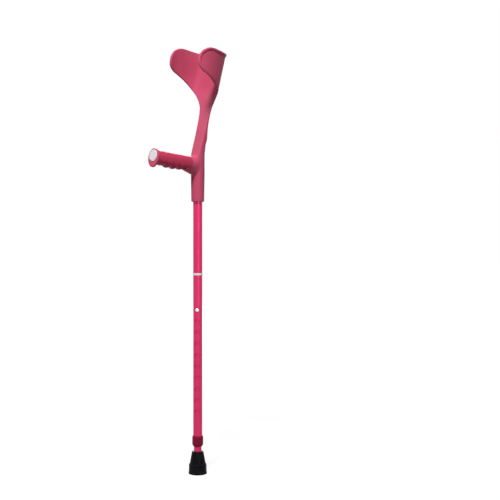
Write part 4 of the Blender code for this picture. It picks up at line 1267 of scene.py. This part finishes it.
def sleeve_stations():
    """Shares of the sleeve's length, each with how far its rounded end cuts in there."""
    length = SLEEVE_FRONT - SLEEVE_REAR
    found = []
    for turn in quarter_turns(SLEEVE_END_STEPS):
        share = SLEEVE_EDGE * (1 - math.cos(turn)) / length
        found.append((share, SLEEVE_EDGE * (1 - math.sin(turn))))
    low = found[-1][0]
    ends = [(1 - share, inset) for share, inset in reversed(found)]
    return found + [(share, 0) for share in steps(low, 1 - low, SLEEVE_STEPS)[1:]] + ends


def grip_sleeve():
    """Soft sleeve with a plain bore, a smooth top and four finger grooves underneath."""
    loops = []
    for share, inset in sleeve_stations():
        bottom = through_keys(SLEEVE_BELLY, mix(SLEEVE_REAR, SLEEVE_FRONT, share))
        outline = oval(SLEEVE_HALF_W - inset, SLEEVE_TOP - inset, bottom - inset, GRIP_SEGMENTS)
        loop = []
        for side, up in outline:
            place = mix(sleeve_rear(up), SLEEVE_FRONT, share)
            shrink = 1 - finger_cut(place, up) / math.hypot(side, up)
            loop.append(grip_point(side * shrink, up * shrink, place))
        loops.append(loop)
    height = GRIP_CORE_HALF_H + GAP
    bore = oval(GRIP_CORE_HALF_W + GAP, height, height, GRIP_SEGMENTS)
    for share in (1, 0):
        loops.append([grip_point(s, u, mix(sleeve_rear(u), SLEEVE_FRONT, share)) for s, u in bore])
    shape, _ = loft(loops, cap_start=False, cap_end=False, join_ends=True)
    finish_piece(make_object("soft_sleeve", shape, SOFT), "grip_sleeve", "upper")


def floor():
    """Pale floor that runs out to white and keeps the crutch's soft shadow."""
    shape = bmesh.new()
    bmesh.ops.create_grid(shape, size=FLOOR_SIZE / 2)
    bmesh.ops.translate(shape, verts=shape.verts, vec=(0, 0, -FLOOR_DROP))
    n = Nodes(bpy.data.materials.new("floor"))
    diffuse = n.add("ShaderNodeBsdfDiffuse", {"Color": FLOOR_COLOUR})[0]
    distance = n.add("ShaderNodeVectorMath", {0: n.coords()}, operation="LENGTH")["Value"]
    strength = n.spread(distance, FLOOR_GLOW_RANGE, FLOOR_GLOW)
    glow = n.add("ShaderNodeEmission", {"Color": WHITE, "Strength": strength})[0]
    both = n.add("ShaderNodeAddShader", {0: diffuse, 1: glow})[0]
    n.show_white(diffuse, both, "ShaderNodeOutputMaterial")
    make_object("floor", shape, n.owner)


def world():
    """Even studio fill, seen as white by the camera and in reflections."""
    SCENE.world = bpy.data.worlds.new("studio")
    n = Nodes(SCENE.world)
    lights = [
        n.add("ShaderNodeBackground", {"Color": WHITE, "Strength": strength})[0]
        for strength in (FILL_STRENGTH, SEEN_STRENGTH)
    ]
    n.show_white(*lights, "ShaderNodeOutputWorld")


def lamp(name, place, target, size, power):
    data = bpy.data.lights.new(name, "AREA")
    data.shape = "RECTANGLE"
    data.size, data.size_y = size
    data.energy = power
    item = add_object(name, data)
    item.location = place
    item.rotation_euler = (Vector(target) - Vector(place)).to_track_quat("-Z", "Y").to_euler()


def camera():
    data = bpy.data.cameras.new("camera")
    data.lens = CAMERA_LENS
    data.sensor_width = SENSOR
    heading = Matrix.Rotation(CAMERA_HEADING, 4, "Z")
    pitch = Matrix.Rotation(math.pi / 2 + CAMERA_PITCH, 4, "X")
    roll = Matrix.Rotation(CAMERA_ROLL, 4, "Z")
    SCENE.camera = add_object("camera", data)
    SCENE.camera.matrix_world = Matrix.Translation(CAMERA_PLACE) @ heading @ pitch @ roll


def build_pieces():
    dress_kept_nodes()
    handle_moulding()
    grip_sleeve()
    grip_end_disc()
    socket_rivet()
    outer_tube()
    reflective_band()
    inner_tube()
    snap_button()
    button_spring()
    locking_collar()
    ferrule()


build_pieces()
floor()
world()
for settings in LAMPS:
    lamp(*settings)
camera()
SCENE.view_settings.view_transform = "Standard"
